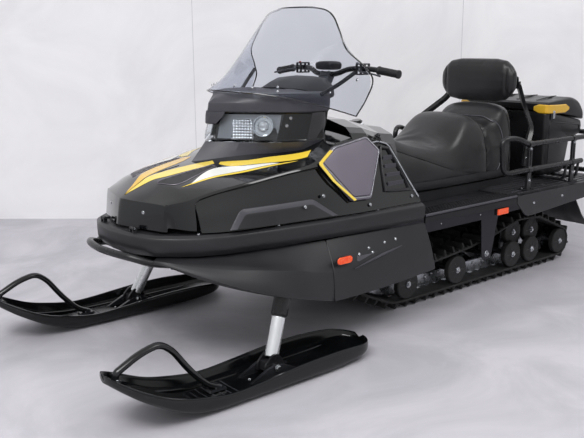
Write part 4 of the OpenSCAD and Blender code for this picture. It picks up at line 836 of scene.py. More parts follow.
def build_lower_body(m):
    lip = Shape()
    profile = [(44, 0), (14, 0), (1, -9), (-2, -16), (-2, -50), (4, -62), (16, -77), (20, -75), (9, -58),
               (6, -48), (6, -16), (44, -6)]
    columns = []
    for p in profile:
        half = [ledge_at(k, p[0], LEDGE_Z + p[1]) for k in range(len(LEDGE))]
        columns.append(across(half))
    lip.grid([list(row) for row in zip(*columns)], m.pan, closed=True, caps=True)
    lip.make("bumper_ledge", "chassis", "lower_fascia", bevel=2.5)
    top = Shape()
    half = [ledge_at(k, 30, LEDGE_Z - 1) for k in range(len(LEDGE))]
    inner = [ledge_at(k, 92, LEDGE_Z + 3) for k in range(len(LEDGE))]
    top.sheet([across(half), across(inner)], 3, m.pan)
    for x in (-110, 110):
        for e in (-13, 8):
            top.block((x + e, -309, 498), (x + e + 5, -295, 516), m.pan)
            top.turned([(0, 3), (0, 7), (5, 7), (5, 3)], (x + e, *HOOD_HINGE), LEFT, m.pan, 18)
        top.turned([(-14, 4), (14, 4)], (x, *HOOD_HINGE), LEFT, m.bolt, 14)
    for k, inset in ((1, 20), (3, 22), (5, 22)):
        p = ledge_at(k, inset, LEDGE_Z)
        for side in (1, -1):
            top.bolt((side * p[0], p[1], p[2]), UP, 5, m.bolt)
    top.make("ledge_top", "chassis", bevel=0.8)
    tub = Shape()
    rows = []
    for at, section in zip(TUB_AT, TUB):
        a = int(at)
        hang = lerp(ledge_at(a, 26, 416), ledge_at(a + 1, 26, 416), at - a)
        rows.append(across([hang, lerp(hang, section[0], 0.5)] + section))
    tub.sheet(rows, -4, m.pan)
    tub.make("belly_tub", "chassis", "belly_pan", subdivide=2, crease=42, hold=0.6)
    for side, name in SIDES:
        skirt = Shape()
        front, mid, back = FOOTWELL
        between = [[lerp(p, q, 0.5) for p, q in zip(*pair)] for pair in ((front, mid), (mid, back))]
        rows = [[r[0], lerp(r[0], r[1], 0.5), r[1], lerp(r[1], r[2], 0.5), r[2]]
                for r in (front, between[0], mid, between[1], back)]
        skirt.sheet(rows, 5, m.pan)
        skirt.make("footwell_skirt_" + name, "chassis", "footwell_" + name, subdivide=2,
                   crease=40, hold=0.9, side=side)
        pocket = Shape()
        outline = rounded([(470, 366), (640, 384), (700, 388), (700, 352), (560, 344), (455, 322)], 10)

        def skirt_x(s, z):
            """How far out the skirt stands."""
            return lerp(lerp(384, 456, (416 - z) / 100), lerp(412, 452, (416 - z) / 110), (s - 340) / 280)

        pocket.grid([[(skirt_x(s, z) + out, lerp(580, s, long), lerp(358, z, high)) for s, z in outline]
                     for out, long, high in ((1, 1, 1), (5, 0.97, 0.9), (2, 0.92, 0.72))],
                    m.brow, closed=True, caps=True)
        shelf = [(430, 306), (600, 330), (716, 346)]
        pocket.tube([(skirt_x(s, z) + 3, s, z) for s, z in shelf], [3, 11, 4], m.brow, 10, flat=0.6, ref=REAR)
        for s, z in ((478, 350), (535, 364), (548, 346), (622, 372), (684, 376)):
            pocket.bolt((skirt_x(s, z) + 5, s, z), (1, 0, 0.3), 4.6, m.bolt)
        pocket.make("toe_vent_" + name, "chassis", bevel=0.8, side=side)
    bumper = Shape()
    half = [(218, -150, 374), (218, -225, 392), (202, -285, 402), (170, -336, 424), (100, -364, 430),
            (0, -375, 430)]
    bumper.tube(bend(across(half), 40, 5), 13, m.steel, 16)
    for side in (1, -1):
        bumper.turned([(0, 17), (3, 18), (12, 18), (14, 15)], (side * 218, -216, 390), (0, 0.93, -0.2),
                      m.pan, 20)
    bumper.make("front_bumper_tube", "chassis", "front_bumper")


# ---- Seats ----
# Sections of a seat: station, half width and height of the foot and of the waist, half width and height
# of the top edge, and the height of the crown
SEAT_FRONT = [
    (950, 200, 484, 197, 600, 120, 742, 764), (1000, 211, 484, 209, 600, 140, 716, 734),
    (1070, 219, 484, 217, 600, 165, 686, 688), (1170, 225, 484, 223, 590, 180, 664, 672),
    (1270, 225, 484, 223, 580, 184, 662, 678), (1345, 225, 484, 223, 580, 184, 690, 728),
    (1410, 225, 484, 221, 600, 178, 760, 794), (1470, 225, 484, 219, 620, 168, 800, 822),
    (1530, 225, 484, 219, 620, 168, 776, 790), (1558, 225, 484, 219, 620, 175, 752, 764)]
SEAT_REAR = [
    (1563, 225, 484, 220, 620, 176, 752, 766), (1636, 223, 484, 218, 640, 178, 758, 772),
    (1664, 222, 484, 217, 650, 181, 790, 812), (1692, 220, 484, 215, 660, 184, 816, 842),
    (1736, 216, 484, 213, 680, 184, 826, 850), (1773, 205, 484, 203, 690, 170, 820, 844)]
# The backrest pad's middle station and height, and its half width
PAD = (1742, 956, 227)


def seat_section(s, shrink):
    """The half outline of a seat at a station, from its foot to the centre line."""
    y, base, foot, waist, waist_z, top, top_z, crown = s
    half = [(base, foot), (lerp(base, waist, 0.5), lerp(foot, waist_z, 0.5)), (waist, waist_z),
            (lerp(top, waist, 0.5), lerp(top_z, waist_z, 0.36)), (top + 3, lerp(top_z, waist_z, 0.06)),
            (top * 0.82, lerp(top_z, crown, 0.5)), (top * 0.5, lerp(top_z, crown, 0.86)), (0, crown)]
    return [(max(x - shrink, 0) if x else 0, y, z - (shrink if z > foot + 1 else 0)) for x, z in half]


def swollen(obj, m, swell, voxel=6.0):
    """Swells foam under its cover by a short cloth simulation; no point moves further than swell."""
    net = obj.modifiers.new("Net", "REMESH")
    net.mode, net.voxel_size, net.use_smooth_shade = "VOXEL", voxel / 1000, True
    bpy.ops.object.modifier_apply(modifier="Net")
    rest = [v.co.copy() for v in obj.data.vertices]
    cloth = obj.modifiers.new("Cover", "CLOTH")
    cloth.settings.quality = 4
    cloth.settings.use_pressure = True
    cloth.settings.uniform_pressure_force = 4.0
    cloth.settings.tension_stiffness = cloth.settings.compression_stiffness = 80
    cloth.settings.bending_stiffness = 40
    cloth.settings.effector_weights.gravity = 0
    cloth.collision_settings.use_collision = False
    for f in range(1, 15):
        bpy.context.scene.frame_set(f)
    bpy.ops.object.modifier_apply(modifier="Cover")
    bpy.context.scene.frame_set(1)
    foot = min(v.z for v in rest)
    for v, old in zip(obj.data.vertices, rest):
        move = v.co - old
        if move.length > swell / 1000:
            move = move.normalized() * (swell / 1000)
        if old.z < foot + 0.004:
            move = Vector((0, 0, 0))
        v.co = old + move
    obj.data.materials.clear()
    obj.data.materials.append(m.vinyl)
    obj.data.shade_smooth()
    return obj


def cushion(name, rows, m, stands_for, swell, subdivide=0):
    """A padded cover over rings that run along it."""
    shape = Shape()
    shape.grid(rows, m.vinyl, closed=True, caps=True)
    obj = shape.make(name, "chassis", stands_for, subdivide=subdivide, crease=60, hold=0.88)
    for other in bpy.context.selected_objects:
        other.select_set(False)
    bpy.context.view_layer.objects.active = obj
    obj.select_set(True)
    if subdivide:
        bpy.ops.object.modifier_apply(modifier="Round")
    return swollen(obj, m, swell)


def groove(obj, lines, width, depth):
    """Presses sewn seams into a cover: each line is a run of points in millimetres."""
    targets = []
    for line in lines:
        targets += [place(p) for p in even(line, 60)]
    tree = KDTree(len(targets))
    for i, p in enumerate(targets):
        tree.insert(p, i)
    tree.balance()
    normals = [v.normal.copy() for v in obj.data.vertices]
    for v, n in zip(obj.data.vertices, normals):
        _, _, far = tree.find(v.co)
        if far < width * 2.2 / 1000:
            v.co -= n * (depth / 1000) * math.exp(-(far * 1000 / width) ** 2)


def build_seats(m):
    front = cushion("driver_seat_cover", [across(seat_section(s, 4)) for s in SEAT_FRONT], m, "seat_front",
                    bpy.context.scene.snowmobile.seat_swell * 1000, 2)
    rear = cushion("passenger_seat_cover", [across(seat_section(s, 4)) for s in SEAT_REAR], m, "seat_rear",
                   8, 2)
    tree_f, tree_r = surface_of(front), surface_of(rear)

    def side_line(tree, points, side, lift=-1.0):
        return [on_surface(tree, (side * 420, s, z), (-side, 0, 0), lift) for s, z in points]

    def top_line(tree, points, lift=-1.0):
        return [laid_on(tree, x, s, lift) for x, s in points]

    crease = [(975, 676), (1057, 646), (1141, 617), (1268, 574), (1418, 530), (1540, 500)]
    hem = [(960, 522), (1100, 516), (1250, 514), (1400, 512), (1550, 512)]
    edge = [(1612, 506), (1650, 545), (1674, 600), (1684, 670), (1674, 735), (1656, 764)]
    seams_f, seams_r = [], []
    for side in (1, -1):
        seams_f += [side_line(tree_f, crease, side), side_line(tree_f, hem, side)]
        seams_r.append(side_line(tree_r, edge, side) + top_line(tree_r,
                                                                [(side * 168, 1648), (side * 120, 1640),
                                                                 (side * 60, 1634), (0, 1632)]))
    groove(front, seams_f, 8, 2.6)
    groove(rear, seams_r, 7, 3.4)
    welts = Shape()
    for line in seams_f:
        welts.tube(smooth(line, 44), 1.3, m.welt, 8)
    for line in seams_r:
        welts.tube(smooth(line, 60), 2.6, m.piping, 8)
    back_edge = []
    for s, z in ((1738, 520), (1742, 600), (1744, 690), (1740, 770), (1728, 812)):
        back_edge.append(on_surface(tree_r, (420, s, z), (-1, 0, 0), 0.5))
    for side in (1, -1):
        welts.tube(smooth(on_side(back_edge, side), 40), 3.2, m.welt, 8)
        run = even([(0, s, z - 7) for s, z in hem], 74)
        for a, b in zip(run[::2], run[1::2]):
            stitch = [on_surface(tree_f, (side * 420, q[1], q[2]), (-side, 0, 0), -0.2) for q in (a, b)]
            welts.tube(stitch, 0.9, m.welt, 6)
    welts.make("seat_piping_and_stitching", "chassis")
    skirt = Shape()
    for side in (1, -1):
        strip = []
        for s in (956, 1060, 1170, 1280, 1400, 1500, 1600, 1690, 1750):
            x = lerp(204, 224, min((s - 956) / 160, 1)) if s < 1650 else lerp(224, 200, (s - 1650) / 100)
            strip.append([(side * (x + 3), s, 494), (side * (x + 5), s, 512), (side * (x + 3), s, 530),
                          (side * (x - 4), s, 530), (side * (x - 4), s, 494)])
        skirt.grid(strip, m.pan, closed=True, caps=True)
    skirt.make("seat_skirt_moulding", "chassis", subdivide=1, crease=60, hold=0.6)
    y0, z0, hw = PAD
    rows = []
    for t in (-1, -0.97, -0.9, -0.75, -0.5, -0.2, 0.2, 0.5, 0.75, 0.9, 0.97, 1):
        e = 1 - 0.62 * max(abs(t) - 0.55, 0) ** 2.4 / 0.45 ** 2.4
        row = []
        for k in range(20):
            a = k * math.tau / 20
            row.append((t * (hw - 6), y0 + e * 42 * squared(math.cos(a), 0.75) + 5 * (1 - t * t),
                        z0 + e * 106 * squared(math.sin(a), 0.75)))
        rows.append(row)
    pad = cushion("backrest_cover", rows, m, "backrest_pad", 8)
    tree = surface_of(pad)
    seams = []
    for x in (-186, 186):
        for s, way in ((1500, 1), (1950, -1)):
            seams.append([on_surface(tree, (x, s, z), (0, way, 0), -1) for z in (900, 930, 956, 982, 1012)])
    groove(pad, seams, 7, 3)
    lines = Shape()
    for line in seams:
        lines.tube(smooth(line, 30), 1.4, m.welt, 8)
    lines.make("backrest_piping", "chassis")


# ---- Rack, box and rear end ----
def build_rack(m):
    rack = Shape()
    for side in (1, -1):
        def q(x, s, z):
            return (side * x, s, z)

        rail = [q(380, 2124, 546), q(380, 1600, 546), q(350, 1500, 532), q(336, 1500, 698), q(368, 1570, 702),
                q(380, 1650, 668), q(380, 2300, 668), q(372, 2344, 668)]
        rack.tube(bend(rail, 46, 6), 13, m.steel, 16, ref=(1, 0.02, 0.01))
        rack.turned([(0, 13), (3, 12), (4, 8)], q(380, 2124, 546), REAR, m.steel, 16)
        for y in (1662, 2040, 2280):
            outline = bend([(-16, 0), (16, 0), (14, 90), (14, 196), (0, 214), (-14, 196), (-14, 90)], 8, 3)
            rack.slab(outline, q(374, y, 452), REAR, UP, 12 * side, m.steel)
            # A near-black strip on the stand: painted shade of a slot.
            rack.slab([(-4, 0), (4, 0), (4, 74), (-4, 74)], q(386.5, y, 566), REAR, UP, side, m.void)
            rack.slab(rect(26, 28), q(372, y, 446.5), LEFT, REAR, 6, m.steel)
            for z in (546, 668):
                rack.turned([(-15, 14.5), (-14, 16), (14, 16), (15, 14.5)], q(380, y, z), REAR, m.steel, 20)
            for z in (494, 646):
                rack.bolt(q(386.4, y, z), (side, 0, 0), 6, m.bolt)
            for e in (-17, 17):
                rack.bolt(q(360, y + e, 452.5), UP, 5, m.bolt)
    rack.tube([(-372, 2344, 668), (372, 2344, 668)], 13, m.steel, 16)
    for y in (1990, 2100):
        rack.tube([(-366, y, 460), (366, y, 460)], 7, m.steel, 12)
        for side in (1, -1):
            rack.tube(bend([(side * 352, y, 460), (side * 372, y, 476), (side * 380, y, 546)], 18), 7,
                      m.steel, 12, ref=REAR)
            rack.slab(rect(14, 9), (side * 250, y, 464.5), LEFT, REAR, 4, m.bright)
            rack.bolt((side * 250, y, 468.5), UP, 5, m.bolt)
    rack.make("cargo_rack_frame", "chassis", "cargo_rack", bevel=1)
    bracket = Shape()
    for side in (1, -1):
        path = bend([(198, 1808, 930), (236, 1794, 858), (352, 1706, 742), (354, 1666, 640),
                     (354, 1662, 560)], 30, 4)
        bracket.tube(on_side(path, side), 17, m.steel, 4, flat=0.4, ref=(0, 1, 0.3))
        # Near-black discs along each stay: painted shade of its holes.
        for t in (0.28, 0.42, 0.56):
            p = path[int(t * (len(path) - 1))]
            bracket.turned([(0, 5), (2, 5), (2.5, 3.6)], (side * (p[0] + 9), p[1], p[2] + 3),
                           (side * 0.75, 0.1, 0.6), m.void, 14)
        for z in (600, 648):
            bracket.bolt((side * 361, 1664, z), (side, 0, 0), 6, m.bolt)
        bracket.slab(rect(15, 18), (side * 193, 1797, 933), LEFT, UP, -12, m.steel)
        bracket.bolt((side * 193, 1810, 940), REAR, 6, m.bolt)
    outline = bend([(-200, 916), (200, 916), (200, 976), (-200, 976)], 14, 3)
    bracket.slab(outline, (0, 1803, 0), LEFT, UP, 8, m.steel)
    for x in (-140, 0, 140):
        bracket.bolt((x, 1803.5, 946), REAR, 5, m.bolt)
    bracket.make("backrest_stays", "chassis", "backrest_bracket", bevel=1)


def box_ring(outline, x, inset):
    """An outline at a place across the machine, drawn in towards its middle by inset."""
    mid_y, mid_z = middle(outline)
    out = []
    for y, z in outline:
        d = Vector((y - mid_y, z - mid_z))
        d = d * (1 - inset / max(d.length, 1))
        out.append((x, mid_y + d.x, mid_z + d.y))
    return out


def rounded_body(shape, outline, hw, r, mat):
    """A box-like body between two sides, its edges rounded by r."""
    rows = []
    for angle in (0, 22, 45, 68, 90):
        a = math.radians(angle)
        rows.append(box_ring(outline, -(hw - r * (1 - math.cos(a))), r * (1 - math.sin(a))))
    rows += [on_side(row, -1) for row in reversed(rows)]
    shape.grid(rows, mat, closed=True, caps=True)


def build_box(m):
    body = Shape()
    outline = bend([(1955, 640), (1955, 470), (2140, 470), (2192, 640), (2202, 657), (2300, 672), (2300, 736),
                    (1955, 800), (1955, 640)], 22, 4)[1:-1]
    rounded_body(body, outline, 270, 20, m.box)
    for x in (-150, 150):
        for e in (-16, 9):
            body.turned([(0, 5), (0, 7), (7, 7), (7, 5)], (x + e, *LID_HINGE), LEFT, m.steel, 18)
            body.block((x + e, 2298, 722), (x + e + 7, 2318, 735), m.steel)
        body.turned([(-17, 3), (17, 3)], (x, *LID_HINGE), LEFT, m.bolt, 12)
    body.make("cargo_box_shell", "chassis", "cargo_box", bevel=1)
    marks = Shape()
    for side in (1, -1):
        marks.tube(bend([(side * 270.5, 1990, 500), (side * 270.5, 1990, 745), (side * 270.5, 2270, 712),
                         (side * 270.5, 2270, 690)], 24), 3, m.box, 8, ref=LEFT)
        marks.slab(rect(22, 14), (side * 276, 2010, 770), REAR, UP, side * -8, m.pan, 0.1)
        marks.slab([(-9, -20), (9, -20), (9, 22), (-9, 22)], (side * 277, 2010, 778), REAR, UP, side * 4,
                   m.bright, 0.15)
    marks.make("cargo_box_ribs_and_latches", "chassis", bevel=1)
    lid = Shape()
    curve = bend([(2080, 852), (2185, 864), (2262, 838), (2306, 772), (2306, 739)], 50, 5)
    rounded_body(lid, [(1951, 803), (1951, 834), (1963, 843)] + curve, 274, 22, m.box)
    for x in (-150, 150):
        lid.turned([(-8, 5), (-8, 7), (8, 7), (8, 5)], (x, *LID_HINGE), LEFT, m.steel, 18)
        lid.block((x - 8, 2300, 740), (x + 8, 2320, 748), m.steel)
    lid.make("cargo_lid_shell", "cargo_lid", "cargo_lid", bevel=1)
    accent = Shape()
    for side in (1, -1):
        run = smooth([(274, 2150, 806), (274.4, 2060, 806), (274.4, 1985, 808), (267, 1957, 809),
                      (246, 1951, 810), (196, 1951, 810)], 50)
        rows = []
        for i, p in enumerate(run):
            t = i / 49
            h = 22 * min(1, 0.35 + 6 * t, 0.45 + 5 * (1 - t))
            out = (3.2 if p[1] > 1960 else 1.8, -3.2 if p[1] < 1985 else 0)
            rows.append([(side * p[0], p[1], p[2] - h),
                         (side * (p[0] + out[0]), p[1] + out[1], p[2] - h * 0.8),
                         (side * (p[0] + out[0]), p[1] + out[1], p[2] + h * 0.8),
                         (side * p[0], p[1], p[2] + h)])
        accent.grid(rows, m.gold, closed=True, caps=True)
    for side in (1, -1):
        for x, back_x in ((180, 170), (60, 58)):
            rib = [(x, 2000, 849), (x, 2120, 861), (back_x, 2190, 862)]
            accent.tube(on_side(rib, side), [3, 6, 3], m.box, 8, flat=0.7)
    accent.make("cargo_lid_accent_bar", "cargo_lid")


def build_rear(m):
    deck = Shape()
    deck.block((-433, 1506, 438), (433, 2326, 444), m.pan)
    for x in range(-396, 397, 36):
        deck.slab([(-6, 0), (6, 0), (6, 700), (-6, 700)], (x, 1560, 443.6), LEFT, REAR, 3.4, m.board, 0.02)
    side_line = [(1506, 412), (1576, 345), (1616, 338), (2090, 366), (2234, 384), (2326, 404), (2326, 444),
                 (1506, 444)]
    for side in (1, -1):
        deck.slab(side_line, (side * 428, 0, 0), REAR, UP, side * 6, m.pan)
        deck.tube(bend([(side * 431, 1506, 414), (side * 431, 1576, 347), (side * 431, 1616, 340),
                        (side * 431, 2090, 368), (side * 431, 2326, 406)], 20), 4, m.pan, 10, ref=LEFT)
        for s, z in ((1640, 396), (1880, 400), (2120, 410)):
            deck.bolt((side * 434, s, z), (side, 0, 0), 5, m.bolt)
    deck.block((-433, 2234, 384), (433, 2240, 438), m.pan)
    deck.block((-433, 2320, 404), (433, 2326, 438), m.pan)
    for x in (-320, 320):
        for y in (1870, 2130):
            deck.turned([(0, 4.6), (0, 15), (1.5, 15), (1.5, 4.6)], (x, y, 444), UP, m.bolt, 24)
    deck.make("rear_deck_plate", "chassis", "rear_deck", bevel=1)
    for side, name in SIDES:
        board = Shape()
        board.block((323, 862, 436), (434, 1500, 444), m.deck)
        board.slab([(862, 412), (1500, 406), (1500, 446), (862, 446)], (424, 0, 0), REAR, UP, 10, m.deck)
        board.tube([(431, 862, 444), (431, 1500, 444)], 6, m.brow, 10)
        for k in range(34):
            s = 880 + k * 18.2
            board.grid([[(332, s, 443), (332, s + 5, 450), (332, s + 10, 443)],
                        [(414, s, 443), (414, s + 5, 450), (414, s + 10, 443)]], m.deck,
                       closed=True, caps=True)
            for t in range(4):
                board.slab(rect(3, 3), (343 + t * 20, s + 5, 448.5), LEFT, REAR, 4, m.deck, 0.6)
        for y in range(952, 1461, 170):
            board.block((326, y, 412), (424, y + 8, 438), m.deck)
        board.slab([(922, 405), (1440, 405), (1500, 444), (862, 444)], (323, 0, 0), REAR, UP, 5, m.deck)
        board.make("running_board_tread_" + name, "chassis", "running_board_" + name,
                   bevel=0.6, side=side)
    bumper = Shape()
    half = [(330, 2332, 424), (330, 2400, 440), (300, 2432, 448), (0, 2432, 448)]
    bumper.tube(bend(across(half), 60, 6), 13.6, m.steel, 16)
    for side in (1, -1):
        outline = rounded(rect(24, 22), 8)
        bumper.slab(outline, (side * 330, 2335, 418), LEFT, UP, 8, m.steel)
        for dz in (-14, 14):
            bumper.bolt((side * 347, 2335, 418 + dz), REAR, 4.5, m.bolt)
    bumper.make("rear_bumper_tube", "chassis", "rear_bumper", bevel=0.8)
    flap = Shape()
    line = bend([(0, 2230, 382), (0, 2252, 320), (0, 2342, 202), (0, 2402, 152)], 60, 8)
    rows = []
    for k in range(30):
        x = lerp(-290, 290, k / 29)
        ridge = 1.6 if k % 4 == 1 else 0
        rows.append([(x, p[1] + ridge, p[2] + ridge * 0.4) for p in line])
    flap.sheet(rows, 6, m.flap)
    for x in range(-240, 241, 120):
        flap.bolt((x, 2238, 366), (0, 1, 0.4), 5, m.bolt)
    flap.make("snow_flap_sheet", "chassis", "snow_flap")
    tail = Shape()
    outline = rounded([(-110, 602), (110, 602), (110, 642), (-110, 642)], 9, 4)
    tail.slab(outline, (0, 2364, 0), LEFT, UP, 6, m.pan)
    tail.slab([(x * 0.96, lerp(622, z, 0.86)) for x, z in outline], (0, 2373.6, 0), LEFT, UP, 10, m.red, 0.03)
    for k in range(-7, 8):
        tail.tube([(k * 13, 2373.4, 607), (k * 13, 2373.8, 622), (k * 13, 2373.4, 637)], [0.8, 1.2, 0.8],
                  m.red, 6)
    tail.make("tail_light_lens", "chassis", "tail_light", bevel=0.8)
    dots = Shape()
    for side in (1, -1):
        line = arc((26, 0), 16, -90, 90, 10) + arc((-26, 0), 16, 90, 270, 10)
        dots.slab(line, (side * 460, 378, 350), (0, side, 0), UP, 5, m.pan)
        # The orange reflector lenses carry a faint painted glow, though they are no lamps.
        dots.slab([(p[0] * 0.92, p[1] * 0.86) for p in line], (side * 464, 378, 350), (0, side, 0), UP, 4,
                  m.amber, 0.05)
        dots.slab(rect(40, 14), (side * 428, 1402, 387), (0, side, 0), UP, 6, m.amber, 0.06)
        dots.slab(rect(42, 15), (side * 413, 1402, 387), (0, side, 0), UP, 15, m.pan)
    dots.make("side_reflector_lenses", "chassis", "side_reflectors", bevel=1)


# ---- Track and what carries it ----
WHEEL_Z = 105.5
IDLER = (2112, WHEEL_Z)
# Station and height of the carrier wheels, and the stations of the rail wheels
CARRIERS = [(1742, 204), (1900, 193)]
RAIL_WHEELS = [921, 1260, 1693, 1855]


def belt_line():
    """The belt's middle line as a closed loop of (station, height)."""
    sag = [(1800, 274), (1738, 277), (1660, 262), (1510, 226), (1343, 200), (1198, 186), (1073, 176),
           (960, 184), (860, 214), (760, 256)]
    low = bend([(670, 104), (825, 36), (920, 33)], 60, 4)
    return arc(IDLER, 72.5, -90, 68, 10) + [(1912, 265)] + sag + arc((590, 235), 85, 62, 246, 12) + low


def build_track(m):
    loop = belt_line()
    p = [Vector(q) for q in loop]
    n = len(p)
    side_of = []
    for i in range(n):
        d = (p[(i + 1) % n] - p[i - 1]).normalized()
        side_of.append(Vector((d.y, -d.x)))
    belt = Shape()
    rings = []
    for q, o in zip(p, side_of):
        a, b = q + o * 5, q - o * 5
        rings.append([(x, *lerp(a, b, t)) for x, t in ((-298, 0), (298, 0), (300, 0.3), (300, 0.7), (298, 1),
                                                       (-298, 1), (-300, 0.7), (-300, 0.3))])
    belt.grid(rings + rings[:1], m.rubber, closed=True)
    run = [0.0]
    for i in range(n):
        run.append(run[-1] + (p[(i + 1) % n] - p[i]).length)
    count = int(run[-1] // (bpy.context.scene.snowmobile.track_pitch * 1000))

    def at(s):
        k = max(i for i in range(n) if run[i] <= s)
        t = (s - run[k]) / (run[k + 1] - run[k])
        a, b = p[k], p[(k + 1) % n]
        return a.lerp(b, t), (b - a).normalized()

    for k in range(count):
        c, d = at((k + 0.5) * run[-1] / count)
        o = Vector((d.y, -d.x))
        stagger = 3 if k % 2 else -3
        for x0, x1, h in ((-296, -190, 27), (-176, -66, 24), (-52, 52, 27.6), (66, 176, 24), (190, 296, 27)):
            grow = 8 if k % 2 else 0
            x0, x1 = x0 + grow * (x0 > -290), x1 - grow * (x1 < 290)
            rows = []
            for x, q in ((x0, 0.0), (x0 + 7, 1.0), (lerp(x0, x1, 0.5), 0.93), (x1 - 7, 1.0), (x1, 0.0)):
                tip = 4 + h * max(q, 0.3)
                profile = [(-9, 4), (-4.5, tip), (0, tip + 0.6 * q), (4.5, tip), (9, 4)]
                rows.append([(x, (c + d * (u + stagger * (w > 4)) + o * w).x, (c + d * u + o * w).y)
                             for u, w in profile])
            belt.grid(rows, m.rubber, closed=True, caps=True)
        for x in (-183, 183, -60, 60):
            a = c - o * 5
            belt.slab(rect(15, 9), (x, a.x, a.y), LEFT, (0, d.x, d.y), 9, m.rubber, 0.35)
        for x in (-205, 205):
            a = c + d * 32 - o * 4.4
            belt.slab(rect(17, 11), (x, a.x, a.y), LEFT, (0, d.x, d.y), 2.4, m.bolt, 0.12)
        c2, d2 = at(((k + 1.0) % count) * run[-1] / count)
        o2 = Vector((d2.y, -d2.x))
        for x in (-290, 290):
            q = c2 + o2 * 5
            belt.slab(rect(9, 5), (x, q.x, q.y), (-1, 0, 0), (0, d2.x, d2.y), 5, m.rubber, 0.3)
    belt.make("track_belt_and_lugs", "chassis", "track", sharp=30, weld=0)


def wheel(shape, m, x, y, z, r, width=28):
    """A rail wheel: rubber tyre, moulded web with spokes, bearing and washer."""
    h = width / 2
    for half, mat, sides in (([(h, r - 12), (h, r - 4), (h - 4, r)], m.rubber, 40),
                             ([(h - 3, 14), (h - 3, r - 20), (h - 1, r - 18), (h - 1, r - 12)], m.wheel, 40),
                             ([(h + 2, 14), (h + 2, 19), (h - 4, 22)], m.wheel, 24),
                             ([(h + 3, 10), (h + 3, 14)], m.bolt, 20)):
        shape.turned(whole(half), (x, y, z), LEFT, mat, sides)
    for k in range(6):
        a = k * math.tau / 6
        c, s = math.cos(a), math.sin(a)
        for side in (1, -1):
            b = x + side * (h - 2.4)
            shape.tube([(b, y + 20 * c, z + 20 * s), (b, y + (r - 18) * c, z + (r - 18) * s)], [4, 3],
                       m.wheel, 6)
            # Near-black discs between the spokes: painted shade of the web's holes.
            t = a + math.tau / 12
            shape.turned([(-0.2, 9), (0.6, 9), (0.8, 6)], (x + side * (h - 3), y + 34 * math.cos(t),
                                                           z + 34 * math.sin(t)), (side, 0, 0), m.void, 14)


def build_wheels(m):
    sets = [("rail_wheel_set", "rail_wheels", [(y, WHEEL_Z) for y in RAIL_WHEELS], 145, 284, 10),
            ("carrier_wheel_set", "carrier_wheels", CARRIERS, 110, 245, 10),
            ("rear_idler_wheel_set", "rear_idlers", [IDLER], 145, 284, 12)]
    for name, node, places, inner, outer, axle in sets:
        wheels = Shape()
        for y, z in places:
            for x in (inner, outer):
                wheel(wheels, m, x, y, z, 66)
            wheels.turned([(-20, axle), (outer - inner + 20, axle)], (inner, y, z), LEFT, m.bright, 20)
            wheels.bolt((outer + 18, y, z), LEFT, 8, m.bolt)
            wheels.turned([(0, axle + 5), (outer - inner - 40, axle + 5)], (inner + 20, y, z), LEFT,
                          m.steel, 20)
        wheels.mirror()
        if node == "rear_idlers":
            wheels.turned([(-144, 12), (144, 12)], (0, *IDLER), LEFT, m.bright, 20)
        wheels.make(name, "chassis", node, sharp=40, weld=0)
    coil = Shape()
    a, b = Vector((0, 1130, 78)), Vector((0, 1440, 158))
    d = (b - a).normalized()
    u, v, _ = turned_frame(d)
    turns, steps = 7, 20
    path = []
    for k in range(turns * steps + 1):
        angle = k * math.tau / steps
        along = 52 + 182 * k / (turns * steps)
        path.append(tuple(a + d * along + (u * math.cos(angle) + v * math.sin(angle)) * 31))
    coil.tube(path, 4.5, m.gold, 8, ref=tuple(d))
    coil.turned([(46, 12), (46, 36), (50, 36), (52, 30)], a, d, m.steel, 28)
    coil.turned([(234, 30), (238, 36), (242, 36), (242, 12)], a, d, m.steel, 28)
    coil.make("shock_coil_spring", "chassis")
    strips = Shape()
    for side in (1, -1):
        line = [(2040, 37), (940, 37), (890, 44), (832, 55), (778, 74), (712, 105)]
        strips.tube([(side * 205, y, z) for y, z in line], 7, m.wheel, 8, flat=0.5, ref=LEFT)
        for y in (1000, 1180, 1400, 1480, 1620, 1800, 1980):
            strips.bolt((side * 212, y, 84), (side, 0, 0), 5.5, m.bolt)
        for y in (1130, 1560):
            strips.bolt((side * 212, y, 78), (side, 0, 0), 8, m.bolt)
    strips.make("rail_slide_strips_and_bolts", "chassis")
    sides = Shape()
    for side in (1, -1):
        for s, z in ((520, 400), (700, 400), (860, 350), (1100, 345), (1380, 345), (1560, 352), (1800, 358),
                     (2060, 366)):
            sides.turned([(0, 5), (1.5, 4.6), (2.6, 2.6), (3, 0.4)], (side * 322, s, z + 12), (side, 0, 0),
                         m.bolt, 14)
        for s, z in ((780, 196), (1440, 158)):
            sides.bolt((side * 322, s, z), (side, 0, 0), 11, m.bolt)
        sides.turned([(0, 30), (4, 30), (8, 22), (8, 4)], (side * 322, 590, 235), (side, 0, 0), m.cast, 28)
    sides.make("tunnel_rivets_and_pivots", "chassis")


# ---- Front struts, skis and steering ----
SKI_X, PIVOT_Z = 490, 50
# The spindles lean inwards and rake back by these angles
LEAN, RAKE = math.radians(13), math.radians(24.5)


def kingpin(side):
    """The foot and the direction of a ski spindle."""
    d = Vector((-side * math.tan(LEAN), math.tan(RAKE), 1)).normalized()
    return Vector((side * SKI_X, 0, PIVOT_Z)), d


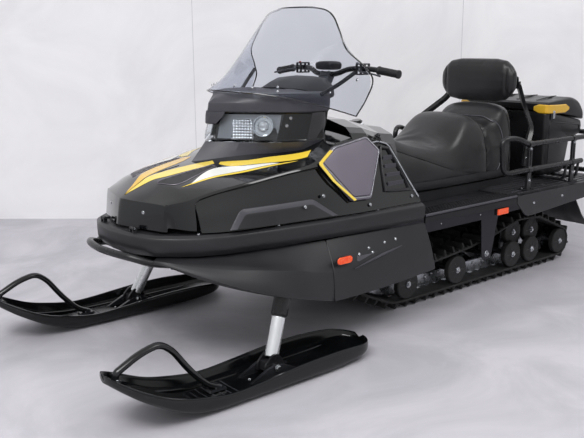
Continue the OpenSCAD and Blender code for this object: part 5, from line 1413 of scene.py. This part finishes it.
def build_front(m):
    sleeves = Shape()
    for side in (1, -1):
        foot, d = kingpin(side)
        sleeves.turned([(172, 20), (172, 29), (174, 30), (286, 30.5), (290, 34), (302, 36), (312, 34),
                        (314, 20)], foot, d, m.steel, 32)
        sleeves.turned([(166, 18), (168, 26), (173, 27)], foot, d, m.rubber, 28)
        arm = [(195, 85), (425, 93), (425, 147), (195, 155)]
        sleeves.slab(on_side(arm, side), (0, 0, 272), LEFT, REAR, 46, m.steel)
    sleeves.make("strut_sleeve_pair", "chassis", "strut_sleeves", bevel=1.5)
    for side, name in SIDES:
        foot, d = kingpin(side)
        spindle = Shape()
        spindle.turned([(24, 20), (26, 24.6), (164, 24.6), (168, 22), (170, 17), (250, 17)], foot, d,
                       m.tube, 48)
        x = side * SKI_X
        for e in (-26, 18):
            outline = rounded([(-44, 32), (44, 32), (40, 62), (18, 92), (-10, 92), (-38, 62)], 12)
            spindle.slab(outline, (x + e, 0, 0), REAR, UP, 8, m.steel)
        spindle.block((x - 20, -30, 34), (x + 20, 30, 66), m.steel)
        spindle.turned([(-44, 9), (44, 9)], (x, 0, PIVOT_Z), LEFT, m.bolt, 20)
        for e in (-1, 1):
            spindle.bolt((x + e * 44, 0, PIVOT_Z), (e, 0, 0), 10, m.bolt)
        spindle.make("ski_spindle_" + name, name + "_ski", "spindle_" + name, bevel=1.2)


def height_on(line, s):
    """The height of a line of points at a station."""
    for a, b in zip(line, line[1:]):
        if a[1] <= s <= b[1]:
            return lerp(a[2], b[2], (s - a[1]) / max(b[1] - a[1], 1e-6))
    return line[0][2] if s < line[0][1] else line[-1][2]


def build_skis(m):
    sole = bend([(0, -626, 164), (0, -576, 124), (0, -501, 80), (0, -432, 40), (0, -338, 8), (0, -238, 6),
                 (0, 285, 6), (0, 432, 24)], 50, 5)
    rim = bend([(0, -626, 190), (0, -576, 160), (0, -438, 88), (0, -238, 46), (0, -100, 56), (0, 65, 70),
                (0, 238, 72), (0, 432, 56)], 60, 5)

    def half_width(s):
        if s < -263:
            a = (s + 476) / -150
            front = math.sqrt(max(1 - max(a, 0) ** 2, 0)) if a > 0 else 1
            return 115 * (0.96 * front if s < -476 else lerp(0.96, 1, (s + 476) / 213))
        if s > 340:
            return 108 * math.sqrt(max(1 - ((s - 340) / 95) ** 2, 0.06))
        return 115 if s < 200 else lerp(115, 108, (s - 200) / 140)

    stations = [-625, -622, -615, -604, -590, -572, -548, -520, -490, -455, -420, -385, -350, -310, -265,
                -215, -160, -100, -40, 20, 80, 140, 200, 250, 300, 345, 380, 404, 420, 429, 432]
    for side, name in SIDES:
        ski = Shape()
        rows = []
        for s in stations:
            hw = max(half_width(s), 10)
            z0, z1 = height_on(sole, s), height_on(rim, s)
            edge = min(hw * 0.5, 13)
            outer = [(0, z0), (hw * 0.55, z0 + 1), (hw - 6, z0 + 4), (hw, z0 + 12), (hw, z1 - 5),
                     (hw - 3, z1), (hw - edge * 0.62, z1), (hw - edge * 0.72, z1 - 5), (hw - edge, z1 - 5),
                     (hw - edge - 2, z1 - 9), (hw - edge * 1.6, lerp(z1, z0 + 13, 0.8)), (hw * 0.6, z0 + 13),
                     (0, z0 + 12)]
            left = [(x, s, max(z, z0)) for x, z in outer]
            rows.append([(SKI_X + x, y, z) for x, y, z in left + on_side(left[1:-1], -1)[::-1]])
        ski.grid(rows, m.ski, closed=True, caps=True)
        for x in (-41, 29):
            ski.slab([(-130, 14), (-118, 14), (-26, 62), (26, 62), (110, 14), (120, 14), (120, 12),
                      (-130, 12)], (SKI_X + x, 0, 0), REAR, UP, 12, m.ski)
        for x in (-66, 66):
            ski.tube([(SKI_X + x, -420, height_on(sole, -420) + 13), (SKI_X + x, -300, 22),
                      (SKI_X + x, -140, 19), (SKI_X + x, 180, 19), (SKI_X + x, 300, 22)],
                     [3, 6, 6, 6, 3], m.ski, 8)
        for k in range(7):
            s = -330 + k * 26
            z = height_on(sole, s) + 11
            ski.tube([(SKI_X - 60, s, z), (SKI_X + 60, s, z)], 3.4, m.ski, 6)
        ski.tube([(SKI_X, -288, 5.2), (SKI_X, 237, 5.2)], 5, m.ski, 8)
        ski.tube([(SKI_X, -240, 4.4), (SKI_X, 120, 4.4)], 4, m.bright, 8)
        for s in (-200, -90, 60):
            ski.bolt((SKI_X, s, 18), UP, 5, m.bolt)
        ski.make("ski_blade_" + name, name + "_ski", "ski_" + name, subdivide=1, crease=38,
                 hold=0.7, side=side)
        loop = Shape()
        line = [(-585, 150), (-585, 180), (-501, 222), (-432, 236), (-388, 204), (-324, 116), (-263, 52),
                (-213, 30)]
        path = bend([(SKI_X, s, z) for s, z in line], 40, 5)
        loop.tube(path, 11, m.ski, 16, flat=1.3, ref=LEFT)
        loop.turned([(-10, 15), (-6, 17), (6, 17), (8, 12)], (SKI_X, -585, 152), (0, 0.2, 1), m.ski, 20)
        for e in (-1, 1):
            loop.bolt((SKI_X + e * 10, -585, 160), (e, 0, 0), 5.5, m.bolt)
            loop.bolt((SKI_X + e * 9, -232, 36), (e, 0, 0.1), 5.5, m.bolt)
        loop.slab(rect(16, 34), (SKI_X, -226, 22), LEFT, REAR, 8, m.ski, 0.15)
        loop.make("ski_loop_" + name, name + "_ski", "ski_handle_" + name, bevel=0.8,
                  side=side)


GRIP = [(0, 702, 1012), (62, 702, 1012), (118, 716, 1036), (235, 738, 1036), (372, 745, 1018)]


def build_steering(m):
    bar = Shape()
    bar.tube(bend(across(list(reversed(GRIP))), 30, 6), 11, m.steel, 16, ref=(0, 1, 1))
    c, up = Vector((0, 700, 1000)), Vector((0, 0.5, 0.866))
    bar.turned([(-390, 14), (-30, 14)], c, up, m.steel, 24)
    back = Vector((0, 0.866, -0.5))
    for z in (-26, -4):
        bar.slab(rounded(rect(30, 20), 8), c + up * z, LEFT, back, 20, m.cast)
    for x in (-21, 21):
        for y in (-13, 13):
            bar.bolt(c + up * 16 + back * y + Vector((x, 0, 0)), up, 5, m.bolt)
    bar.make("handlebar_tube_and_clamp", "handlebar", "handlebar", bevel=1)
    pad = Shape()
    rows = []
    for z, g in ((1029, 0.62), (1030, 0.82), (1034, 0.95), (1042, 1.0), (1054, 1.0), (1061, 0.9),
                 (1065, 0.66), (1066, 0.3)):
        rows.append([(g * 60 * squared(math.cos(a), 0.6), 712 + g * 38 * squared(math.sin(a), 0.6), z)
                     for a in (k * math.tau / 32 for k in range(32))])
    pad.grid(rows, m.grip, closed=True, caps=True)
    pad.make("handlebar_cover_pad", "handlebar", "handlebar_pad", subdivide=1)
    rubber = Shape()
    for side in (1, -1):
        a, b = Vector((side * 235, 738, 1036)), Vector((side * 372, 745, 1018))
        d = (b - a).normalized()
        length = (b - a).length
        start = length * 0.24
        profile = [(start, 12.5), (start + 1, 16.9), (start + 7, 16.9), (start + 9, 15)]
        s = start + 12
        while s < length - 12:
            profile += [(s, 14.4), (s + 0.8, 15.6), (s + 4.2, 15.6), (s + 5, 14.4)]
            s += 7
        profile += [(length - 7, 14.6), (length - 5, 16.9), (length + 2.5, 16.9), (length + 4, 14.5)]
        rubber.turned(profile, a, d, m.grip, 28)
    rubber.make("ribbed_hand_grips", "handlebar", "grips")
    hands = Shape()
    for side in (1, -1):
        outline = rounded([(-16, -14), (16, -14), (16, 42), (-16, 42)], 7)
        for z in (1012, 1053):
            hands.slab(outline, (side * 188, 716, z), LEFT, REAR, 5, m.wheel)
        for x in (side * 188 - 14, side * 188 + 10):
            for y in (702, 748):
                hands.block((x, y, 1014), (x + 4, y + 10, 1056), m.wheel)
        button = m.red if side < 0 else m.bolt
        hands.turned([(0, 4), (1, 6), (4, 6), (5, 4)], (side * 180, 706, 1058), UP, button, 16)
        lever = bend([(196, 700, 1030), (226, 676, 1028), (300, 682, 1018), (330, 684, 1012)], 20, 5)
        hands.tube(on_side(lever, side), [5.5] * (len(lever) - 1) + [6.5], m.cast, 12, flat=0.62)
        hands.bolt((side * 202, 697, 1035), UP, 4.5, m.bolt)
    hands.make("brake_and_throttle_levers", "handlebar", "control_levers", bevel=0.8)


# Finishes for the frame's own pieces that keep their shape
KEPT = {"tunnel": "tunnel", "tow_hitch": "steel", "engine": "cast", "console": "paint", "seat_base": "pan",
        "drive_axle": "wheel", "slide_rails": "bright", "suspension_arms": "steel", "rear_shock": "bright",
        "steering_support": "steel"}


def finish_kept(m):
    for name, finish in KEPT.items():
        for obj in bpy.data.objects:
            if obj.type == "MESH" and (obj.name == name or obj.name.startswith(name + ".")):
                obj.data.materials.clear()
                obj.data.materials.append(getattr(m, finish))
    panel = Shape()
    for side in (1, -1):
        for s in (640, 720):
            panel.tube([(side * 252, s, 640), (side * 247, s + 4, 700)], 5, m.cowl, 8, flat=0.6, ref=REAR)
    panel.turned([(0, 26), (10, 26), (14, 22), (14, 4)], (0, 880, 792), (0, -0.2, 1), m.cowl, 36)
    for k in range(8):
        a = k * math.tau / 8
        panel.turned([(9, 3), (13, 3)], (26 * math.cos(a), 880 + 26 * math.sin(a), 791), (0, -0.2, 1),
                     m.cowl, 8)
    panel.turned([(0, 9), (6, 9), (7, 7), (4, 5)], (70, 848, 788), (0.1, -0.2, 1), m.bolt, 20)
    panel.make("fuel_cap_and_key", "chassis")


# ---- Stage ----
def stage_object(name, verts, faces, mat):
    mesh = bpy.data.meshes.new(name)
    mesh.from_pydata(verts, [], faces)
    mesh.materials.append(mat)
    obj = bpy.data.objects.new(name, mesh)
    bpy.context.scene.collection.objects.link(obj)
    return obj


def paper(name, colour, second, veins, one_sided=False):
    """A backdrop surface with soft clouding; a one-sided one is clear from behind."""
    mat = bpy.data.materials.new(name)
    mat.use_nodes = True
    tree = mat.node_tree
    shader = tree.nodes["Principled BSDF"]
    shader.inputs["Roughness"].default_value = 0.55
    where = add(tree, "TexCoord").outputs["Object"]
    cloud = add(tree, "TexNoise", {"Scale": veins, "Detail": 8.0, "Roughness": 0.6, "Distortion": 1.2},
                {"Vector": where})
    tint = add(tree, "ValToRGB", {}, {"Fac": cloud.outputs["Fac"]})
    tint.color_ramp.elements[0].position, tint.color_ramp.elements[1].position = 0.38, 0.66
    tint.color_ramp.elements[0].color = linear(second)
    tint.color_ramp.elements[1].color = linear(colour)
    tree.links.new(tint.outputs["Color"], shader.inputs["Base Color"])
    if one_sided:
        clear = add(tree, "BsdfTransparent")
        behind = add(tree, "NewGeometry").outputs["Backfacing"]
        mix = add(tree, "MixShader", {}, {0: behind, 1: shader.outputs[0], 2: clear.outputs[0]})
        tree.links.new(mix.outputs[0], tree.nodes["Material Output"].inputs["Surface"])
    return mat


def build_stage(props):
    scene = bpy.context.scene
    scene.view_settings.view_transform = "Standard"
    floor = paper("polished_concrete_floor", "#cbc8cf", "#b3b1b8", 1.6)
    stage_object("floor", [(-14, -14, -0.002), (14, -14, -0.002), (14, 14, -0.002), (-14, 14, -0.002)],
                 [(0, 1, 2, 3)], floor)
    wall = paper("honed_white_marble_wall", "#fbfafc", "#efeef1", 1.1, one_sided=True)
    a = math.radians(props.camera_azimuth)
    eye = Vector((2.48843, -2.45858, 1.13496))
    ahead, right = Vector((-math.sin(a), math.cos(a), 0)), Vector((math.cos(a), math.sin(a), 0))
    base = Vector((eye.x, eye.y, 0)) + ahead * 5.1

    def upright(foot, u0, u1, z0, z1):
        """The corners of a rectangle that stands square to the camera's way."""
        corners = ((u0, z0), (u1, z0), (u1, z1), (u0, z1))
        return [tuple(foot + right * u + Vector((0, 0, z))) for u, z in corners]

    stage_object("wall", upright(base, -7, 7, 0, 5), [(0, 1, 2, 3)], wall)
    joint = paper("wall_joint", "#d6d6da", "#cbcbd0", 1.0, one_sided=True)
    near = base - ahead * 0.004
    lines, faces = [], []
    for strip in [(u, u + 0.004, 0, 5) for u in (-2.35, -0.63, 1.09, 2.81)] + [(-7, 7, 1.5, 1.504)]:
        faces.append(tuple(range(len(lines), len(lines) + 4)))
        lines += upright(near, *strip)
    stage_object("wall_joints", lines, faces, joint)
    world = scene.world or bpy.data.worlds.new("soft_sky")
    scene.world = world
    world.use_nodes = True
    tree = world.node_tree
    tree.nodes.clear()
    way = add(tree, "TexCoord").outputs["Generated"]
    height = add(tree, "SeparateXYZ", {}, {"Vector": way}).outputs["Z"]
    rise = add(tree, "MapRange", {"From Min": -0.3, "From Max": 0.7}, {"Value": height}).outputs["Result"]
    ramp = add(tree, "ValToRGB", {}, {"Fac": rise})
    ramp.color_ramp.elements[0].color = linear("#b4b6ba")
    ramp.color_ramp.elements[1].color = linear("#ffffff")
    sky = add(tree, "Background", {"Strength": props.sky_strength}, {"Color": ramp.outputs["Color"]})
    add(tree, "OutputWorld", {}, {"Surface": sky.outputs[0]})
    for name, at, size, power in (("key_softbox", (1.6, -3.4, 4.0), (3.2, 1.6), 130),
                                  ("fill_softbox", (3.4, 1.0, 4.6), (2.4, 1.6), 60),
                                  ("rear_softbox", (-3.0, 1.1, 3.4), (3.0, 2.0), 110)):
        light = bpy.data.lights.new(name, "AREA")
        light.shape, light.size, light.size_y, light.energy = "RECTANGLE", size[0], size[1], power
        lamp = bpy.data.objects.new(name, light)
        scene.collection.objects.link(lamp)
        lamp.location = at
        lamp.rotation_euler = (Vector((0, 0, 0.5)) - Vector(at)).to_track_quat("-Z", "Y").to_euler()
    el = math.radians(props.camera_elevation)
    back = Vector((math.sin(a) * math.cos(el), -math.cos(a) * math.cos(el), math.sin(el)))
    roll = Matrix.Rotation(math.radians(-0.28), 4, "Z")
    turn = Matrix((right, back.cross(right), back)).transposed().to_4x4() @ roll
    turn.translation = eye
    data = bpy.data.cameras.new("camera")
    data.lens, data.sensor_width = 47.87, 36
    cam = bpy.data.objects.new("camera", data)
    cam.matrix_world = turn
    scene.collection.objects.link(cam)
    scene.camera = cam


# ---- Add-on ----
class SnowmobileSettings(bpy.types.PropertyGroup):
    """Sizes and colours that a user would change."""
    panel_colour: bpy.props.StringProperty(name="Panel colour", description="sRGB hex of the painted panels",
                                           default="#0a0b0d")
    stripe_colour: bpy.props.StringProperty(name="Stripe colour",
                                            description="sRGB hex of the pale yellow films",
                                            default="#f2cf3f")
    cover_colour: bpy.props.StringProperty(name="Cover colour",
                                           description="sRGB hex of the hexagonal covers", default="#6d6773")
    seat_swell: bpy.props.FloatProperty(name="Seat swell", description="How far the seat foam may swell",
                                        default=0.009, min=0, max=0.03, unit="LENGTH")
    track_pitch: bpy.props.FloatProperty(name="Lug pitch", description="Distance between the track's lugs",
                                         default=0.064, min=0.04, max=0.1, unit="LENGTH")
    camera_azimuth: bpy.props.FloatProperty(name="Camera azimuth",
                                            description="Angle round the machine, in degrees",
                                            default=50.44, min=0, max=360)
    camera_elevation: bpy.props.FloatProperty(name="Camera elevation",
                                              description="Angle above the floor, in degrees",
                                              default=12.67, min=0, max=89)
    sky_strength: bpy.props.FloatProperty(name="Sky strength", description="Brightness of the soft surround",
                                          default=0.72, min=0, max=4)


MADE = []


def finishes():
    """The materials, made once."""
    if not MADE:
        MADE.append(make_materials(bpy.context.scene.snowmobile))
    return MADE[0]


class SNOW_OT_stage(bpy.types.Operator):
    """Floor, wall, lights and camera"""
    bl_idname = "snowmobile.stage"
    bl_label = "Stage"

    def execute(self, context):
        build_stage(bpy.context.scene.snowmobile)
        return {"FINISHED"}


class SNOW_OT_kept_pieces(bpy.types.Operator):
    """Finishes of the frame's own pieces that keep their shape"""
    bl_idname = "snowmobile.kept_pieces"
    bl_label = "Kept pieces"

    def execute(self, context):
        finish_kept(finishes())
        return {"FINISHED"}


class SNOW_OT_hood(bpy.types.Operator):
    """The hood shell with its stripes, vents, screws and painted shade lines along its seams"""
    bl_idname = "snowmobile.hood"
    bl_label = "Hood"

    def execute(self, context):
        build_hood(finishes())
        return {"FINISHED"}


class SNOW_OT_cowl(bpy.types.Operator):
    """The headlight cowl, lens, reflectors and gauges"""
    bl_idname = "snowmobile.cowl"
    bl_label = "Cowl"

    def execute(self, context):
        build_cowl(finishes())
        return {"FINISHED"}


class SNOW_OT_windscreen(bpy.types.Operator):
    """The clear windscreen, its black trim and stays"""
    bl_idname = "snowmobile.windscreen"
    bl_label = "Windscreen"

    def execute(self, context):
        build_windscreen(finishes())
        return {"FINISHED"}


class SNOW_OT_side_panels(bpy.types.Operator):
    """The side panels, vents and hexagonal covers"""
    bl_idname = "snowmobile.side_panels"
    bl_label = "Side panels"

    def execute(self, context):
        build_sides(finishes())
        return {"FINISHED"}


class SNOW_OT_lower_body(bpy.types.Operator):
    """The ledge, tub, footwells and front bumper"""
    bl_idname = "snowmobile.lower_body"
    bl_label = "Lower body"

    def execute(self, context):
        build_lower_body(finishes())
        return {"FINISHED"}


class SNOW_OT_seats(bpy.types.Operator):
    """The seat covers and backrest with their seams"""
    bl_idname = "snowmobile.seats"
    bl_label = "Seats"

    def execute(self, context):
        build_seats(finishes())
        return {"FINISHED"}


class SNOW_OT_rack(bpy.types.Operator):
    """The cargo rack and the backrest stays"""
    bl_idname = "snowmobile.rack"
    bl_label = "Rack"

    def execute(self, context):
        build_rack(finishes())
        return {"FINISHED"}


class SNOW_OT_cargo_box(bpy.types.Operator):
    """The cargo box and its lid"""
    bl_idname = "snowmobile.cargo_box"
    bl_label = "Cargo box"

    def execute(self, context):
        build_box(finishes())
        return {"FINISHED"}


class SNOW_OT_rear_end(bpy.types.Operator):
    """The deck, running boards, rear bumper, flap and lights"""
    bl_idname = "snowmobile.rear_end"
    bl_label = "Rear end"

    def execute(self, context):
        build_rear(finishes())
        return {"FINISHED"}


class SNOW_OT_track(bpy.types.Operator):
    """The track belt with its lugs and clips"""
    bl_idname = "snowmobile.track"
    bl_label = "Track"

    def execute(self, context):
        build_track(finishes())
        return {"FINISHED"}


class SNOW_OT_wheels(bpy.types.Operator):
    """The rail wheels, idlers, spring and fasteners"""
    bl_idname = "snowmobile.wheels"
    bl_label = "Wheels"

    def execute(self, context):
        build_wheels(finishes())
        return {"FINISHED"}


class SNOW_OT_front_struts(bpy.types.Operator):
    """The strut sleeves and the ski spindles"""
    bl_idname = "snowmobile.front_struts"
    bl_label = "Front struts"

    def execute(self, context):
        build_front(finishes())
        return {"FINISHED"}


class SNOW_OT_skis(bpy.types.Operator):
    """The skis and their loops"""
    bl_idname = "snowmobile.skis"
    bl_label = "Skis"

    def execute(self, context):
        build_skis(finishes())
        return {"FINISHED"}


class SNOW_OT_steering(bpy.types.Operator):
    """The handlebar, its pad, grips and levers"""
    bl_idname = "snowmobile.steering"
    bl_label = "Steering"

    def execute(self, context):
        build_steering(finishes())
        return {"FINISHED"}


OPERATORS = (SNOW_OT_stage, SNOW_OT_kept_pieces, SNOW_OT_hood, SNOW_OT_cowl, SNOW_OT_windscreen,
             SNOW_OT_side_panels, SNOW_OT_lower_body, SNOW_OT_seats, SNOW_OT_rack, SNOW_OT_cargo_box,
             SNOW_OT_rear_end, SNOW_OT_track, SNOW_OT_wheels, SNOW_OT_front_struts, SNOW_OT_skis,
             SNOW_OT_steering)


class SNOW_PT_panel(bpy.types.Panel):
    """Lists the operators in the sidebar"""
    bl_label = "Snowmobile"
    bl_idname = "SNOW_PT_panel"
    bl_space_type = "VIEW_3D"
    bl_region_type = "UI"
    bl_category = "Snowmobile"

    def draw(self, context):
        for name in SnowmobileSettings.__annotations__:
            self.layout.prop(context.scene.snowmobile, name)
        for operator in OPERATORS:
            self.layout.operator(operator.bl_idname)


CLASSES = (SnowmobileSettings,) + OPERATORS + (SNOW_PT_panel,)


def register():
    for cls in CLASSES:
        bpy.utils.register_class(cls)
    bpy.types.Scene.snowmobile = bpy.props.PointerProperty(type=SnowmobileSettings)


def unregister():
    del bpy.types.Scene.snowmobile
    for cls in reversed(CLASSES):
        bpy.utils.unregister_class(cls)


def main():
    register()
    for operator in OPERATORS:
        result = getattr(bpy.ops.snowmobile, operator.bl_idname.split(".")[1])()
        if "FINISHED" not in result:
            raise RuntimeError(operator.bl_idname + " did not finish")


if __name__ == "__main__":
    main()
